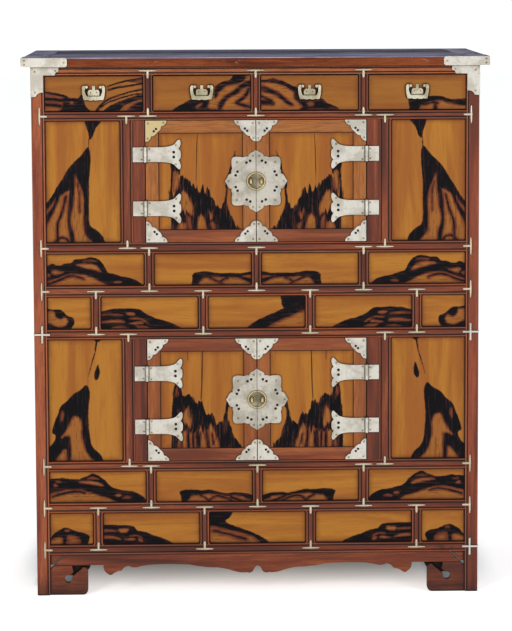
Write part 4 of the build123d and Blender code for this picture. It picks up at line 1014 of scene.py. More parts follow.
# %% The persimmon finish
def persimmon(name, jag, share, toward, streaky):
    """Golden wood with ink: jag is how far, in metres, the fibres pull the edges of the ink along, the
    golden ground is turned by share toward one more colour, and streaky is how much brown shows
    through the ink."""
    material, t, shader, place, grain = grained(name)
    along = stretched(t, place, (0.1, 1, 1))
    # the fraying of the ink: small noise, finer noise and a pull along the fibres
    fray = centred(t, noise(t, place, 95, 3, 0.6), 0.0016)
    fine = centred(t, noise(t, place, 380, 2, 0.6), 0.0007)
    pull = centred(t, noise(t, along, 230, 3, 0.7), jag)
    warp = calc(t, "+", fray, calc(t, "+", fine, pull))
    ink = calc(t, "+", value_of(t, "ink"), warp)
    heart = calc(t, "-", value_of(t, "heart"), warp)
    # golden ground: cloudy, with wide bands and fine streaks along the fibres
    cloud = calc(t, "+", noise(t, along, 22, 3, 0.55, 0.5), centred(t, value_of(t, "tone"), 0.03))
    gold = blend(t, soft_step(t, cloud, 0.36, 0.62), rgb(132, 79, 33), rgb(150, 99, 37))
    gold = tint(t, gold, soft_step(t, grain["Band"], 0.5, 0.7), 0.35, rgb(122, 71, 30))
    gold = tint(t, gold, soft_step(t, grain["Streak"], 0.48, 0.7), 0.3, rgb(108, 59, 25))
    gold = blend(t, share, gold, toward)
    # brown wood of the windows: dark purple brown beside the ink, gold brown 8 mm from it
    soft = calc(t, "*+", noise(t, along, 210, 5, 0.74), 0.012, -0.0062)
    away = calc(t, "*+", calc(t, "*", ink, -1.0), value_of(t, "light"), soft)
    brown = blend(t, soft_step(t, away, -0.0012, 0.0022), rgb(34, 13, 14), rgb(96, 48, 28))
    brown = blend(t, soft_step(t, away, 0.0014, 0.007), brown, rgb(130, 80, 34))
    vein = soft_step(t, noise(t, along, 320, 3, 0.6), 0.54, 0.62)
    brown = tint(t, brown, vein, 0.5, rgb(48, 22, 17))
    colour = blend(t, soft_step(t, heart, -0.0014, -0.0004), gold, brown)
    # painted shade with grime darkens the wood towards its frame, then comes a thin warm halo, then the black
    rim = value_of(t, "rim")
    edge = calc(t, "+", rim, centred(t, noise(t, place, 45, 2), 0.005))
    colour = tint(t, colour, soft_step(t, edge, 0.017, 0.0), 0.45, rgb(86, 43, 24))
    colour = tint(t, colour, soft_step(t, ink, -0.0022, 0.0), 0.55, rgb(66, 32, 20))
    thin = calc(t, "*+", soft_step(t, ink, 0.011, 0.0), 0.06, noise(t, along, 210, 4, 0.7))
    pitch = tint(t, rgb(3, 3, 6), soft_step(t, thin, 0.54, 0.66), streaky, rgb(58, 30, 26))
    colour = blend(t, soft_step(t, ink, -0.0006, 0.0005), colour, pitch)
    # painted shade and old dirt lie against the frame, round a drawer's pull and round the fittings,
    # and cracks are open
    colour = tint(t, colour, soft_step(t, rim, 0.0036, 0.0004), 0.88, rgb(20, 10, 12))
    split = calc(t, "+", value_of(t, "crack"), calc(t, "*", warp, 0.15))
    crack = soft_step(t, split, -0.0005, 0.0004)
    colour = tint(t, colour, crack, 0.85, rgb(30, 14, 8))
    colour = in_hollows(t, colour, 0.85, rgb(16, 8, 8))
    gloss = calc(t, "*+", grain["Streak"], 0.2, 0.42)
    height = calc(t, "-", calc(t, "*", grain["Streak"], 0.2), crack)
    surface(t, shader, colour, gloss, height, 0.3, 0.0008)
    shader.inputs["Specular IOR Level"].default_value = 0.08
    return material


quiet_persimmon = persimmon("persimmon", 0.0012, 0.0, rgb(126, 64, 30), 0.5)
jagged_persimmon = persimmon("door_persimmon", 0.004, 0.12, rgb(126, 64, 30), 0.95)
drawer_persimmon = persimmon("drawer_persimmon", 0.0014, 0.45, rgb(104, 60, 30), 0.95)
print("persimmon nodes", len(quiet_persimmon.node_tree.nodes))

# %% [markdown]
# ## White brass
# The fittings are a pale copper alloy, cut from sheet, filed and polished by hand, and dulled since.
# A plain metal shader would mirror the room like chrome. So it is partly metallic, with broad
# patches of polish and tarnish, fine scratches, a painted highlight on the filed edges, and painted
# shade with tarnish in the corners round each nail. Rings, staples and nails have kept a yellower
# skin, where the point value "gold" is 1.


# %% White brass
def white_metal(name, base, dull, patina, gold):
    """Pale metal: base where it is polished, dull and patina in patches, gold where the value says."""
    material, t, shader = new_material(name)
    place = object_place(t)
    broad = noise(t, place, 26, 4, 0.6)
    colour = blend(t, soft_step(t, broad, 0.4, 0.62), base, dull)
    close = noise(t, place, 160, 3, 0.6)
    colour = tint(t, colour, soft_step(t, close, 0.55, 0.72), 0.45, patina)
    colour = tint(t, colour, value_of(t, "gold"), 0.85, gold)
    # filed edges: polish and a painted highlight; corners round the nails: tarnish and painted shade
    colour = tint(t, colour, use_group(t, edge_wear_and_highlight, Width=0.0006)["Mask"], 0.5, rgb(240, 236, 224))
    colour = in_hollows(t, colour, 0.85, rgb(44, 37, 28), Reach=0.0035)
    fine = noise(t, stretched(t, place, (1, 1, 14)), 130, 3, 0.6)
    gloss = calc(t, "*+", broad, 0.3, calc(t, "*+", fine, 0.14, 0.22))
    height = calc(t, "+", calc(t, "*", broad, 1.4), calc(t, "*", fine, 0.12))
    surface(t, shader, colour, gloss, height, 0.35, 0.0007)
    shader.inputs["Metallic"].default_value = 0.7
    return material


NAIL_GOLD, LOCK_GOLD = rgb(170, 150, 96), rgb(190, 168, 112)
white_brass = white_metal("white_brass", rgb(190, 186, 175), rgb(164, 159, 147), rgb(136, 126, 100),
                          rgb(178, 158, 106))
lock_brass = white_metal("lock_brass", rgb(178, 173, 161), rgb(148, 143, 130), rgb(124, 114, 90), LOCK_GOLD)
nail_brass = white_metal("nail_brass", rgb(150, 138, 98), rgb(114, 102, 68), rgb(76, 66, 44), NAIL_GOLD)
pull_brass = white_metal("pull_brass", rgb(190, 184, 160), rgb(146, 138, 110), rgb(108, 96, 66), NAIL_GOLD)
# the dish inside a lock ring: darker metal, tarnish with painted shade inside the ring
shaded_rose_brass = white_metal("shaded_rose_brass", rgb(150, 142, 116), rgb(104, 96, 74), rgb(62, 54, 40), LOCK_GOLD)
print("metals", [m.name for m in bpy.data.materials if "brass" in m.name])

# %% [markdown]
# ## The top
# The boards of the top are red brown on their edges. Their upper face is lacquered almost black. Its
# colour here is a painted sheen: the blue grey that the lacquer reflects at a low angle, while the
# shader gives it no reflection of its own. Two materials would need the edge cut off the board. One
# material that reads the height keeps the board whole: above TOP_SKIN it is lacquer, below it is wood.

# %% The top
TOP_SKIN = (1.3375, 1.3392)


def top_finish():
    """Red brown boards with lacquer on their upper face, which shows a painted blue grey sheen."""
    material, t, shader, place, grain = grained("top_wood")
    wavy = stretched(t, place, (0.25, 1, 1))
    cloudy = noise(t, wavy, 16, 4, 0.62, 0.8)
    # the lacquer's colour is a painted sheen, the blue grey it reflects at a low angle
    lacquer_with_painted_sheen = blend(t, soft_step(t, cloudy, 0.42, 0.64), rgb(114, 112, 132), rgb(154, 152, 172))
    lacquer_with_painted_sheen = tint(t, lacquer_with_painted_sheen, soft_step(t, grain["Streak"], 0.52, 0.7), 0.5, rgb(186, 184, 202))
    side = blend(t, soft_step(t, grain["Band"], 0.38, 0.6), rgb(78, 37, 24), rgb(118, 63, 36))
    side = tint(t, side, soft_step(t, grain["Streak"], 0.56, 0.4), 0.45, rgb(70, 30, 24))
    nick = soft_step(t, noise(t, wavy, 70, 3, 0.6), 0.66, 0.74)
    side = tint(t, side, nick, 0.6, rgb(196, 160, 128))
    colour = blend(t, soft_step(t, object_axes(t)["Z"], *TOP_SKIN), side, lacquer_with_painted_sheen)
    # edges: wear and a painted highlight; corners: dirt and painted shade
    colour = tint(t, colour, use_group(t, edge_wear_and_highlight, Width=0.0016)["Mask"], 0.35, rgb(128, 92, 76))
    colour = in_hollows(t, colour, 0.7, rgb(30, 18, 18))
    gloss = calc(t, "*+", cloudy, 0.3, 0.3)
    surface(t, shader, colour, gloss, grain["Streak"], 0.3, 0.0008)
    shader.inputs["Specular IOR Level"].default_value = 0.0
    return material


top_wood = top_finish()
print("top nodes", len(top_wood.node_tree.nodes))

# %% [markdown]
# ## Floor
# The ground is paper white with a painted shadow: a soft grey pool under the chest and behind its
# feet, where the colour turns grey blue. White paper alone would show the lamps' shadows too hard, so
# the ground glows a little, and less in the painted shadow.

# %% Floor
REACH = 30.0
floor_mesh = bpy.data.meshes.new("floor")
floor_mesh.from_pydata([(x * REACH, y * REACH, 0) for x, y in ((-1, -1), (1, -1), (1, 1), (-1, 1))],
                       [], [(0, 1, 2, 3)])
floor = bpy.data.objects.new("floor", floor_mesh)
scene.collection.objects.link(floor)
plain_floor, t, shader = new_material("plain_floor")
spot = object_axes(t)
out = calc(t, "abs", spot["X"])


def product(first, *others):
    for other in others:
        first = calc(t, "*", first, other)
    return first


# painted shadow under the chest and behind its feet: greyer colour and less glow
under = product(soft_step(t, spot["Y"], -0.24, 0.1), soft_step(t, spot["Y"], 0.6, 0.25),
                soft_step(t, out, 0.64, 0.5))
feet = product(soft_step(t, out, 0.425, 0.455), soft_step(t, out, 0.58, 0.54),
               soft_step(t, spot["Y"], -0.2, -0.1), soft_step(t, spot["Y"], 0.5, 0.3))
painted_shadow = calc(t, "max", under, feet)
t.links.new(blend(t, painted_shadow, (0.9, 0.9, 0.9, 1), (0.42, 0.55, 0.6, 1)), shader.inputs["Base Color"])
glow = calc(t, "*+", feet, -0.12, calc(t, "*+", painted_shadow, -0.44, 0.56))
t.links.new(glow, shader.inputs["Emission Strength"])
shader.inputs["Emission Color"].default_value = (1, 1, 1, 1)
shader.inputs["Roughness"].default_value = 1.0
shader.inputs["Specular IOR Level"].default_value = 0.0
floor_mesh.materials.append(plain_floor)
print("floor", floor.dimensions[:])

# %% [markdown]
# ## Beaded rails, muntins and posts
# Each member of the front has a small round bead planed along both edges, with a groove beside it,
# and where an upright meets a rail the two beads meet at a mitre. A bevel could round the edges, but
# not cut the groove. So the profile is worked out across the member and carried along it. At its
# ends an upright spreads by the width of a bead, at 45 degrees, which is the mitre.

# %% The profile
FRONT = -0.260
BEAD, GROOVE, MEMBER = 0.0042, 0.0018, 0.026
SHARE = np.array([0, 0.06, 0.2, 0.38, 0.5, 0.62, 0.8, 0.94, 1])


def beaded_face(width, left=True, right=True):
    """Face of a member as (place across, depth, crest). A bead is a half circle on a chord of BEAD,
    sqrt(1 - (2s - 1)^2) high. Its groove rises again over 2 mm to a field 0.3 mm under the bead."""
    bead = [(s * BEAD, GROOVE * (1 - math.sqrt(max(0, 1 - (2 * s - 1) ** 2))),
             0.9 * (1 - abs(2 * s - 1)) if 0 < s < 1 else -0.8) for s in SHARE]
    field = [(BEAD + 0.0006, GROOVE, -1.0), (BEAD + 0.0014, GROOVE, -1.0), (BEAD + 0.0024, 0.0006, -0.5),
             (BEAD + 0.0036, 0.0003, 0.0)]
    plain = [(0, 0.0012, 0.3), (0.0003, 0.0005, 0.3), (0.001, 0.0003, 0.1), (BEAD, 0.0003, 0.0)]
    low = bead + field if left else plain
    high = bead + field if right else plain
    rows = [(-width / 2 + s, d, c) for s, d, c in low] + [(width / 2 - s, d, c) for s, d, c in high[::-1]]
    return np.array(rows)


def member(axis, centre, width, start, end, flare=0.0, sink=0.0, **values):
    """The face profile carried from start to end along axis (0 or 2), with its back MEMBER behind the
    front. Near each end the half width grows by (flare - distance from the end)."""
    face = beaded_face(width)
    across = np.concatenate([[face[0, 0]], face[:, 0], [face[-1, 0]]])
    behind = np.concatenate([[MEMBER], face[:, 1] + sink, [MEMBER]])
    if flare:
        stops = np.array([start - flare / 2, start, start + flare, end - flare, end, end + flare / 2])
        grow = np.array([flare, flare, 0, 0, flare, flare])
    else:
        stops, grow = np.linspace(start, end, 3), np.zeros(3)
    rings = np.zeros((len(stops), len(across), 3))
    rings[..., 2 - axis] = centre + across[None] * (1 + grow[:, None] * 2 / width)
    rings[..., axis] = stops[:, None]
    rings[..., 1] = FRONT + behind[None]
    return tube(rings, crest=np.concatenate([[0], face[:, 2], [0]]), **values)


print("points across a member", len(beaded_face(0.022)))

# %% [markdown]
# ## Rails and muntins
# The rails run from post to post and the muntins stand between them. Their places are read from the
# solids. The top rail is painted lighter and more golden: painted light where the top's overhang
# shades it. A muntin's ends reach into the rails by the mitre, and it lies a hair deeper, so the two
# beads meet without flickering.

# %% Rails and muntins
POST_IN, POST_OUT, TOP_Z = 0.518, 0.550, 1.318
INTO_POST, MITRE = 0.001, 0.006
heights = [((low[2] + high[2]) / 2, high[2] - low[2]) for low, high in solid_boxes("front_rails")]
# golden on the top rail: painted light where the top's overhang shades it
rails = [member(0, z, height, -POST_IN - INTO_POST, POST_IN + INTO_POST,
                golden=0.7 if z == heights[-1][0] else 0.0) for z, height in heights]
finish_piece("beaded_rails", rails, "case", ["front_rails"], "frame_wood", frame_wood)
muntins = [member(2, (low[0] + high[0]) / 2, high[0] - low[0], low[2] + MITRE, high[2] - MITRE,
                  flare=MITRE / 2, sink=0.0002) for low, high in solid_boxes("front_muntins")]
finish_piece("beaded_muntins", muntins, "case", ["front_muntins"], "frame_wood", frame_wood)
print("rails at", [round(float(z), 4) for z, _ in heights], "muntins", len(muntins))

# %% [markdown]
# ## Posts
# A post stands on the floor, so its foot is worn round. It could be a box with a bevel, but its face
# has the same bead as the rails. Here its whole section is one outline, and four rings of it, the
# lower two drawn in a little, make the post.


# %% Posts
POST_DEEP, POST_SOFT = 0.040, 0.0012
FOOT = ((0, 0.0012), (0.0008, 0.0004), (0.002, 0), (TOP_Z, 0))  # height, and how far the ring is drawn in


def front_post(side):
    """A post 32 by 40 mm: its face beaded on the inner edge, its other corners rounded by POST_SOFT."""
    face = beaded_face(POST_OUT - POST_IN, left=side > 0, right=side < 0)
    middle = side * (POST_IN + POST_OUT) / 2
    ring = [(middle + a, FRONT + d) for a, d, _ in face]
    inner, outer = (ring[0], ring[-1]) if side > 0 else (ring[-1], ring[0])
    back, soft = FRONT + POST_DEEP, side * POST_SOFT
    corner = [(outer[0], back - POST_SOFT), (outer[0] - soft / 3, back - POST_SOFT / 3),
              (outer[0] - soft, back), (inner[0] + soft, back), (inner[0], back - POST_SOFT)]
    outline = np.array(ring + corner[::side])
    centre = outline.mean(0)
    rings = np.zeros((len(FOOT), len(outline), 3))
    for k, (height, tuck) in enumerate(FOOT):
        rings[k, :, :2] = centre + (outline - centre) * (1 - tuck / 0.016)
        rings[k, :, 2] = height
    return tube(rings, crest=np.concatenate([face[:, 2], np.full(len(corner), 0.25)]))


finish_piece("posts_in_front", [front_post(-1), front_post(1)], "case", ["front_posts"], "frame_wood",
             post_wood)
print("rings of a post", len(FOOT))

# %% [markdown]
# ## Door frames
# Two stiles and two rails hold each door's panel. They are straight boards with softened edges. One
# bevelled copy of the solid would run its grain the same way in all four, so they are four boards,
# and each gets fibres along its own length. Hands have rubbed some of them golden.

# %% Door frames
STILE, DOOR_RAIL, LAP = 0.031, 0.030, 0.001
GOLDEN = {"lower": (0.25, 0.0, 0.0), "upper": (0.75, 0.8, 0.05)}  # of stiles, top rail and bottom rail


def rounded_board(low, high, axis, soft, golden):
    """Straight board from low to high along axis, its long edges quarter circles of radius soft."""
    across = [k for k in range(3) if k != axis]
    corner = soft * (1 - np.cos(np.radians([0, 30, 60, 90])))
    a0, a1, b0, b1 = low[across[0]], high[across[0]], low[across[1]], high[across[1]]
    up = corner[::-1]
    outline = np.concatenate([np.stack([a0 + corner, b0 + up], -1), np.stack([a1 - up, b0 + corner], -1),
                              np.stack([a1 - corner, b1 - up], -1), np.stack([a0 + up, b1 - corner], -1)])
    stops = (low[axis], low[axis] + soft, high[axis] - soft, high[axis])
    rings = np.zeros((4, len(outline), 3))
    middle = outline.mean(0)
    for k, (stop, tuck) in enumerate(zip(stops, (0.6 * soft, 0, 0, 0.6 * soft))):
        rings[k, :, across] = (outline + np.sign(middle - outline) * tuck).T
        rings[k, :, axis] = stop
    return tube(rings, golden=golden)


for tier, start, door, sign in DOORS:
    stiles, top, bottom = GOLDEN[tier]
    low, high = box_of(f"{door}_frame")
    boards = [rounded_board((x, low[1], low[2]), (x + STILE, high[1], high[2]), 2, 0.0006, stiles)
              for x in (low[0], high[0] - STILE)]
    boards += [rounded_board((low[0] + STILE - LAP, low[1], z), (high[0] - STILE + LAP, high[1], z + DOOR_RAIL),
                             0, 0.0005, golden)
               for z, golden in ((low[2], bottom), (high[2] - DOOR_RAIL, top))]
    finish_piece(f"{start}_stiles_and_rails", boards, door, [f"{door}_frame"], "door_wood", door_wood)
print("door frames", len(DOORS), "of", len(boards), "boards")

# %% [markdown]
# ## The figured boards
# Panels lie in grooves, so only their faces show. They are crowned by a third of a millimetre, as
# old boards are. Drawer fronts are whole boards with soft edges. A coarse board could take its
# figure from a texture, but here the figure is in the points, so each board is a fine grid. Each
# point carries its figure values and "rim", its distance to the edge of the opening.


# %% Boards as grids
FINE_ACROSS, FINE_ALONG = 0.62, 1.4  # a board with needles has its points closer across than along


def grid_places(a, b, step, soft):
    """Places from a to b about a step apart, and closer where the edge is rounded."""
    places = np.linspace(a, b, max(int(round((b - a) / step)), 2) + 1)
    if soft:
        near = soft * np.array([0.08, 0.3, 0.6, 1.0])
        places = np.unique(np.concatenate([places, a + near, b - near]))
    return places


def board(x0, x1, z0, z1, front, back, step, under, side, soft=0.0, crown=0.0003, needle=0.0):
    """Board over an opening, reaching under its frame. y = front - crown cos(pi u/2) cos(pi v/2),
    u and v from -1 to 1, less a quarter circle of radius soft near its edges."""
    xs = grid_places(x0 - under, x1 + under, step * (FINE_ACROSS if needle else 1), soft)
    zs = grid_places(z0 - under, z1 + under, step * (FINE_ALONG if needle else 1), soft)

    def face(x, z):
        u = (2 * x - x0 - x1) / (x1 - x0 + 2 * under)
        v = (2 * z - z0 - z1) / (z1 - z0 + 2 * under)
        y = front + crown - crown * np.cos(np.pi * u / 2) * np.cos(np.pi * v / 2)
        if soft:
            near = np.minimum(np.minimum(x - xs[0], xs[-1] - x), np.minimum(z - zs[0], zs[-1] - z))
            near = np.clip(near / soft, 0, 1)
            y = y + soft * (1 - np.sqrt(1 - (1 - near) ** 2))
        return y

    shell = slab(xs, zs, face, back)
    x, y, z = shell["points"].T
    values = figure_values(x, z, (x0, z0), (x1, z1), side, needle)
    for key in ("ink", "heart", "crack"):  # the back is plain
        values[key] = np.where(y > back - 1e-6, -FAR, values[key])
    values["rim"] = np.maximum(np.minimum(np.minimum(x - x0, x1 - x), np.minimum(z - z0, z1 - z)), 0.0)
    shell["values"] = values
    return shell


print("places on 0.1 m at 2 mm", len(grid_places(0, 0.1, 0.002, 0)))

# %% Panels of the front
TONGUE, SHOWN_UNDER, PANEL_STEP = 0.005, 0.003, 0.0022
MIDDLE = 0.03  # a panel nearer to the middle than this is drawn whole


def panel(low, high, side, step, under, **how):
    """The board of a panel, its tongues left out."""
    return board(low[0] + TONGUE, high[0] - TONGUE, low[2] + TONGUE, high[2] - TONGUE, low[1], high[1],
                 step, under, side, **how)


for kind in ("row", "flank"):
    panels = [panel(low, high, int(np.sign(low[0] + high[0])) if abs(low[0] + high[0]) / 2 > MIDDLE else 0,
                    PANEL_STEP, SHOWN_UNDER) for low, high in solid_boxes(f"{kind}_panels")]
    finish_piece(f"{kind}_boards", panels, "case", [f"{kind}_panels"], "figured_wood", quiet_persimmon)
    print(kind, "panels", len(panels), "faces", len(bpy.data.meshes[f"{kind}_boards"].polygons))

# %% Door panels and drawer fronts
for _, _, door, sign in DOORS:
    shell = panel(*box_of(f"{door}_panel"), sign, 0.0018, 0.0, crown=0.0002, needle=0.013)
    finish_piece(f"{door}_board", [shell], door, [f"{door}_panel"], "figured_wood", jagged_persimmon)
PULL_HALF_WIDTH, PULL_HALF_HEIGHT, PULL_RISE = 0.019, 0.006, 0.009
for drawer in DRAWERS:
    low, high = box_of(f"{drawer}_front")
    shell = board(low[0], high[0], low[2], high[2], low[1], high[1], 0.002, 0.0, 0, soft=0.0012, crown=0.0)
    # painted shadow and grime round the pull: the rim value is the distance to the pull's box as well
    near, far = box_of(f"{drawer}_pull_plate")
    x, _, z = shell["points"].T
    from_pull = np.hypot(np.maximum(abs(x - (near[0] + far[0]) / 2) - PULL_HALF_WIDTH, 0),
                         np.maximum(abs(z - near[2] - PULL_RISE) - PULL_HALF_HEIGHT, 0))
    shell["values"]["rim"] = np.minimum(shell["values"]["rim"], from_pull)
    finish_piece(f"{drawer}_board", [shell], drawer, [f"{drawer}_front"], "figured_wood", drawer_persimmon)
print("door and drawer boards", len(DOORS) + len(DRAWERS))

# %% [markdown]
# ## Parts with eased edges
# Many parts have the right shape in the CAD model but razor edges, which no planed board or filed
# plate has. A Bevel modifier would round the model's stray triangles as well. So a merged copy of the
# mesh is cleaned of flat triangles first, and then its sharp edges are bevelled. Nail heads in the
# model are flat discs: they are left out of the copy and set again as low domes.


# %% Easing
NAIL_ACROSS, NAIL_THICK = 0.005, 0.001
SHARP, NEARLY_FLAT = math.radians(28), math.radians(1.0)


def solids_of(mesh):
    """Each connected part of a bmesh as its points and the lowest and highest corner of its box."""
    seen = set()
    for start in mesh.verts:
        if start in seen:
            continue
        group, edge = {start}, [start]
        while edge:
            for link in edge.pop().link_edges:
                for vert in link.verts:
                    if vert not in group:
                        group.add(vert)
                        edge.append(vert)
        seen |= group
        points = np.array([v.co for v in group])
        yield list(group), points.min(0), points.max(0)


def cut_in_fours(mesh):
    """Faces with more than four corners made triangles."""
    bmesh.ops.triangulate(mesh, faces=[f for f in mesh.faces if len(f.verts) > 4])


def eased(node, width, keep_nails=False, segments=2, skip_small=0.0):
    """Merged copy of a CAD node with its sharp edges bevelled, and the middles of its nails. Solids
    shallower than skip_small from front to back are left out."""
    mesh = bmesh.new()
    mesh.from_mesh(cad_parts[node].data)
    bmesh.ops.remove_doubles(mesh, verts=mesh.verts, dist=JOINED)
    nails, drop = [], []
    for group, low, high in ([] if keep_nails else solids_of(mesh)):
        wide, thick, tall = high - low
        if wide < NAIL_ACROSS and thick < NAIL_THICK and tall < NAIL_ACROSS:
            nails.append(((low[0] + high[0]) / 2, high[1], (low[2] + high[2]) / 2))
            drop += group
        elif thick < skip_small:
            drop += group
    bmesh.ops.delete(mesh, geom=drop, context="VERTS")
    bmesh.ops.dissolve_limit(mesh, angle_limit=NEARLY_FLAT, verts=mesh.verts, edges=mesh.edges)
    bmesh.ops.recalc_face_normals(mesh, faces=mesh.faces)
    edges = [e for e in mesh.edges if len(e.link_faces) == 2 and e.calc_face_angle() > SHARP]
    bmesh.ops.bevel(mesh, geom=edges, offset=width, offset_type="OFFSET", segments=segments, profile=0.5,
                    affect="EDGES", clamp_overlap=True)
    cut_in_fours(mesh)
    result = bpy.data.meshes.new(node + "_eased")
    mesh.to_mesh(result)
    mesh.free()
    return result, nails


def soften(piece):
    """Weighted normals keep broad faces flat beside their rounded edges."""
    modifier = piece.modifiers.new("flat_faces", "WEIGHTED_NORMAL")
    modifier.keep_sharp = True
    modifier.weight = 100
    return piece


print("corner nails", len(eased("corner_brackets", 0.0004)[1]))


# %% Eased pieces and nails
def dome(x, y, z, radius=0.0023, height=0.0008):
    """Nail head: circles of radius r cos(a) at height h sin(a) in front of y."""
    turn, a = np.linspace(0, 2 * np.pi, 10, endpoint=False), np.array([[0.0], [0.5], [1.0], [1.4]])
    r = radius * np.cos(a)
    return tube(np.stack([x + r * np.cos(turn), y - height * np.sin(a) + 0 * turn, z + r * np.sin(turn)], -1))


def metal_piece(name, mesh, body, node, metal):
    """Sheet or bar metal: no fibres, and broad faces that stay flat."""
    return soften(finish_piece(name, mesh, body, [node], "white_brass", metal, sharp=50, wood=False))


def nail_heads(name, places, body, node, *radius):
    heads = [dome(*place, *radius) for place in places]
    finish_piece(name, heads, body, [node], "white_brass", nail_brass, wood=False)


def eased_wood(name, body, node, width, slot, material):
    soften(finish_piece(name, eased(node, width, keep_nails=True)[0], body, [node], slot, material, sharp=50))


def eased_metal(name, body, node, width, metal, **how):
    mesh, nails = eased(node, width, **how)
    piece = metal_piece(name, mesh, body, node, metal)
    if nails:
        nail_heads(name + "_nails", nails, body, node)
    return piece


print("points of a nail head", len(dome(0, 0, 0)["points"]))

# %% Wooden parts
WOOD_PARTS = [("rear_posts", 0.0015, "frame_wood"), ("side_and_back_rails", 0.001, "frame_wood"),
              ("side_panels", 0.0008, "frame_wood"), ("door_jambs", 0.0006, "frame_wood"),
              ("apron", 0.0012, "frame_wood"), ("foot_brackets", 0.0015, "frame_wood"),
              ("top_planks", 0.0007, "top_wood"), ("top_breadboard_ends", 0.0015, "top_wood"),
              ("back_boards", 0.0008, "inner_wood"), ("floor_boards", 0.0008, "inner_wood"),
              ("drawer_guides", 0.0008, "inner_wood")]
FINISH = {"frame_wood": frame_wood, "top_wood": top_wood, "inner_wood": inner_wood}
for node, width, slot in WOOD_PARTS:
    eased_wood(node + "_eased", "case", node, width, slot, FINISH[slot])
for drawer in DRAWERS:
    eased_wood(f"{drawer}_box_eased", drawer, f"{drawer}_box", 0.0006, "inner_wood", inner_wood)
print("wooden parts", len(WOOD_PARTS) + len(DRAWERS))

# %% [markdown]
# ## Shoulders and shade blocks
# Between each post, the apron and its scrolled bracket sits a small shoulder of wood, and behind the
# bracket's slot a near black block, which is painted shade that darkens the slot. They are too small
# for a solid of their own, so each is a flat outline carried a few millimetres back, drawn on the
# left and mirrored on the right.

# %% Shoulders and shade blocks
SHOULDER = [(-518, 103.2), (-480.6, 103.2), (-509.8, 76.2), (-518, 76.2)]
# the block behind each slot is near black: painted shade in the slot
SHADE_BLOCK = [(-478, 102.5), (-416, 102.5), (-419, 67), (-428, 53), (-444, 46), (-478, 46)]
for name, outline, front, back, material in (("foot_shoulders", SHOULDER, -0.250, -0.240, frame_wood),
                                             ("shade_blocks", SHADE_BLOCK, -0.2378, -0.222, shade_black_wood)):
    pair = [tube(np.array([[(side * x * MM, y, z * MM) for x, z in outline] for y in (front, back)]))
            for side in (1, -1)]
    finish_piece(name, pair, "case", ["foot_brackets"], "frame_wood", material)
    print(name, len(pair))

# %% [markdown]
# ## T straps
# Where an upright meets a rail, two thin bars are nailed on as a T. In the model they are flat
# strips. On the real chest they are filed half round and widen towards their ends, so each strip's
# box gives the places, and a half round section is carried along it with a width that changes.


# %% T straps
STRAP_TALL, STEM_TALL = 0.0012, 0.00115
BAR_WIDTHS, STEM_WIDTHS = (0.0023, 0.0014), (0.0028, 0.0022)  # half width at the middle and at the ends


def filed_bar(axis, centre, low, high, widths, face, height):
    """Half round bar on the front. Its half width goes from the middle's to the ends' as the square of
    the distance from its middle. Its section is (w cos a, h sin a)."""
    run = np.linspace(-1, 1, 9)
    turn = np.linspace(0, np.pi, 7)
    half = widths[0] + (widths[1] - widths[0]) * run**2
    half[[0, -1]] *= 0.8
    rings = np.zeros((9, 7, 3))
    rings[..., axis] = ((low + high) / 2 + run * (high - low) / 2)[:, None]
    rings[..., 2 - axis] = centre + half[:, None] * np.cos(turn)
    tall = height * np.where(np.abs(run) == 1, 0.6, 1.0)
    rings[..., 1] = face - tall[:, None] * np.sin(turn) ** 0.7
    return tube(rings, gold=0.45)


points, label = solid_mesh("strap_fittings")
bars = []
for k in np.unique(label):
    own = points[label == k]
    low, high = own.min(0), own.max(0)
    wide, thick, tall = high - low
    if thick < 0.0015 and wide > 0.02 and tall > 0.02:
        axis = 0 if wide > tall else 2
        other = 2 - axis
        end = own[own[:, axis] < low[axis] + 1e-5][:, other]
        bars += [filed_bar(axis, (end.min() + end.max()) / 2, low[axis], high[axis], BAR_WIDTHS, high[1],
                           STRAP_TALL),
                 filed_bar(other, (low[axis] + high[axis]) / 2, low[other], high[other], STEM_WIDTHS, high[1],
                           STEM_TALL)]
finish_piece("t_straps", bars, "case", ["strap_fittings"], "white_brass", white_brass, sharp=60, wood=False)
print("T straps", len(bars) // 2)

# %% [markdown]
# ## Plates
# The door plates are sawn from sheet, so each is an outline with holes. They could be cut from a box
# with booleans, which leave ragged edges. A flat curve fills the outline, leaves the holes open,
# gives the sheet its thickness and files its edges in one go. The outlines are in millimetres. A
# point that is written twice stays a sharp cusp, and the others are smoothed.

# %% Sawn sheet
FILED = 0.00022


def circle(x, z, radius, count=14):
    turn = np.linspace(0, 2 * np.pi, count, endpoint=False)
    return np.stack([x + radius * np.cos(turn), z + radius * np.sin(turn)], -1)


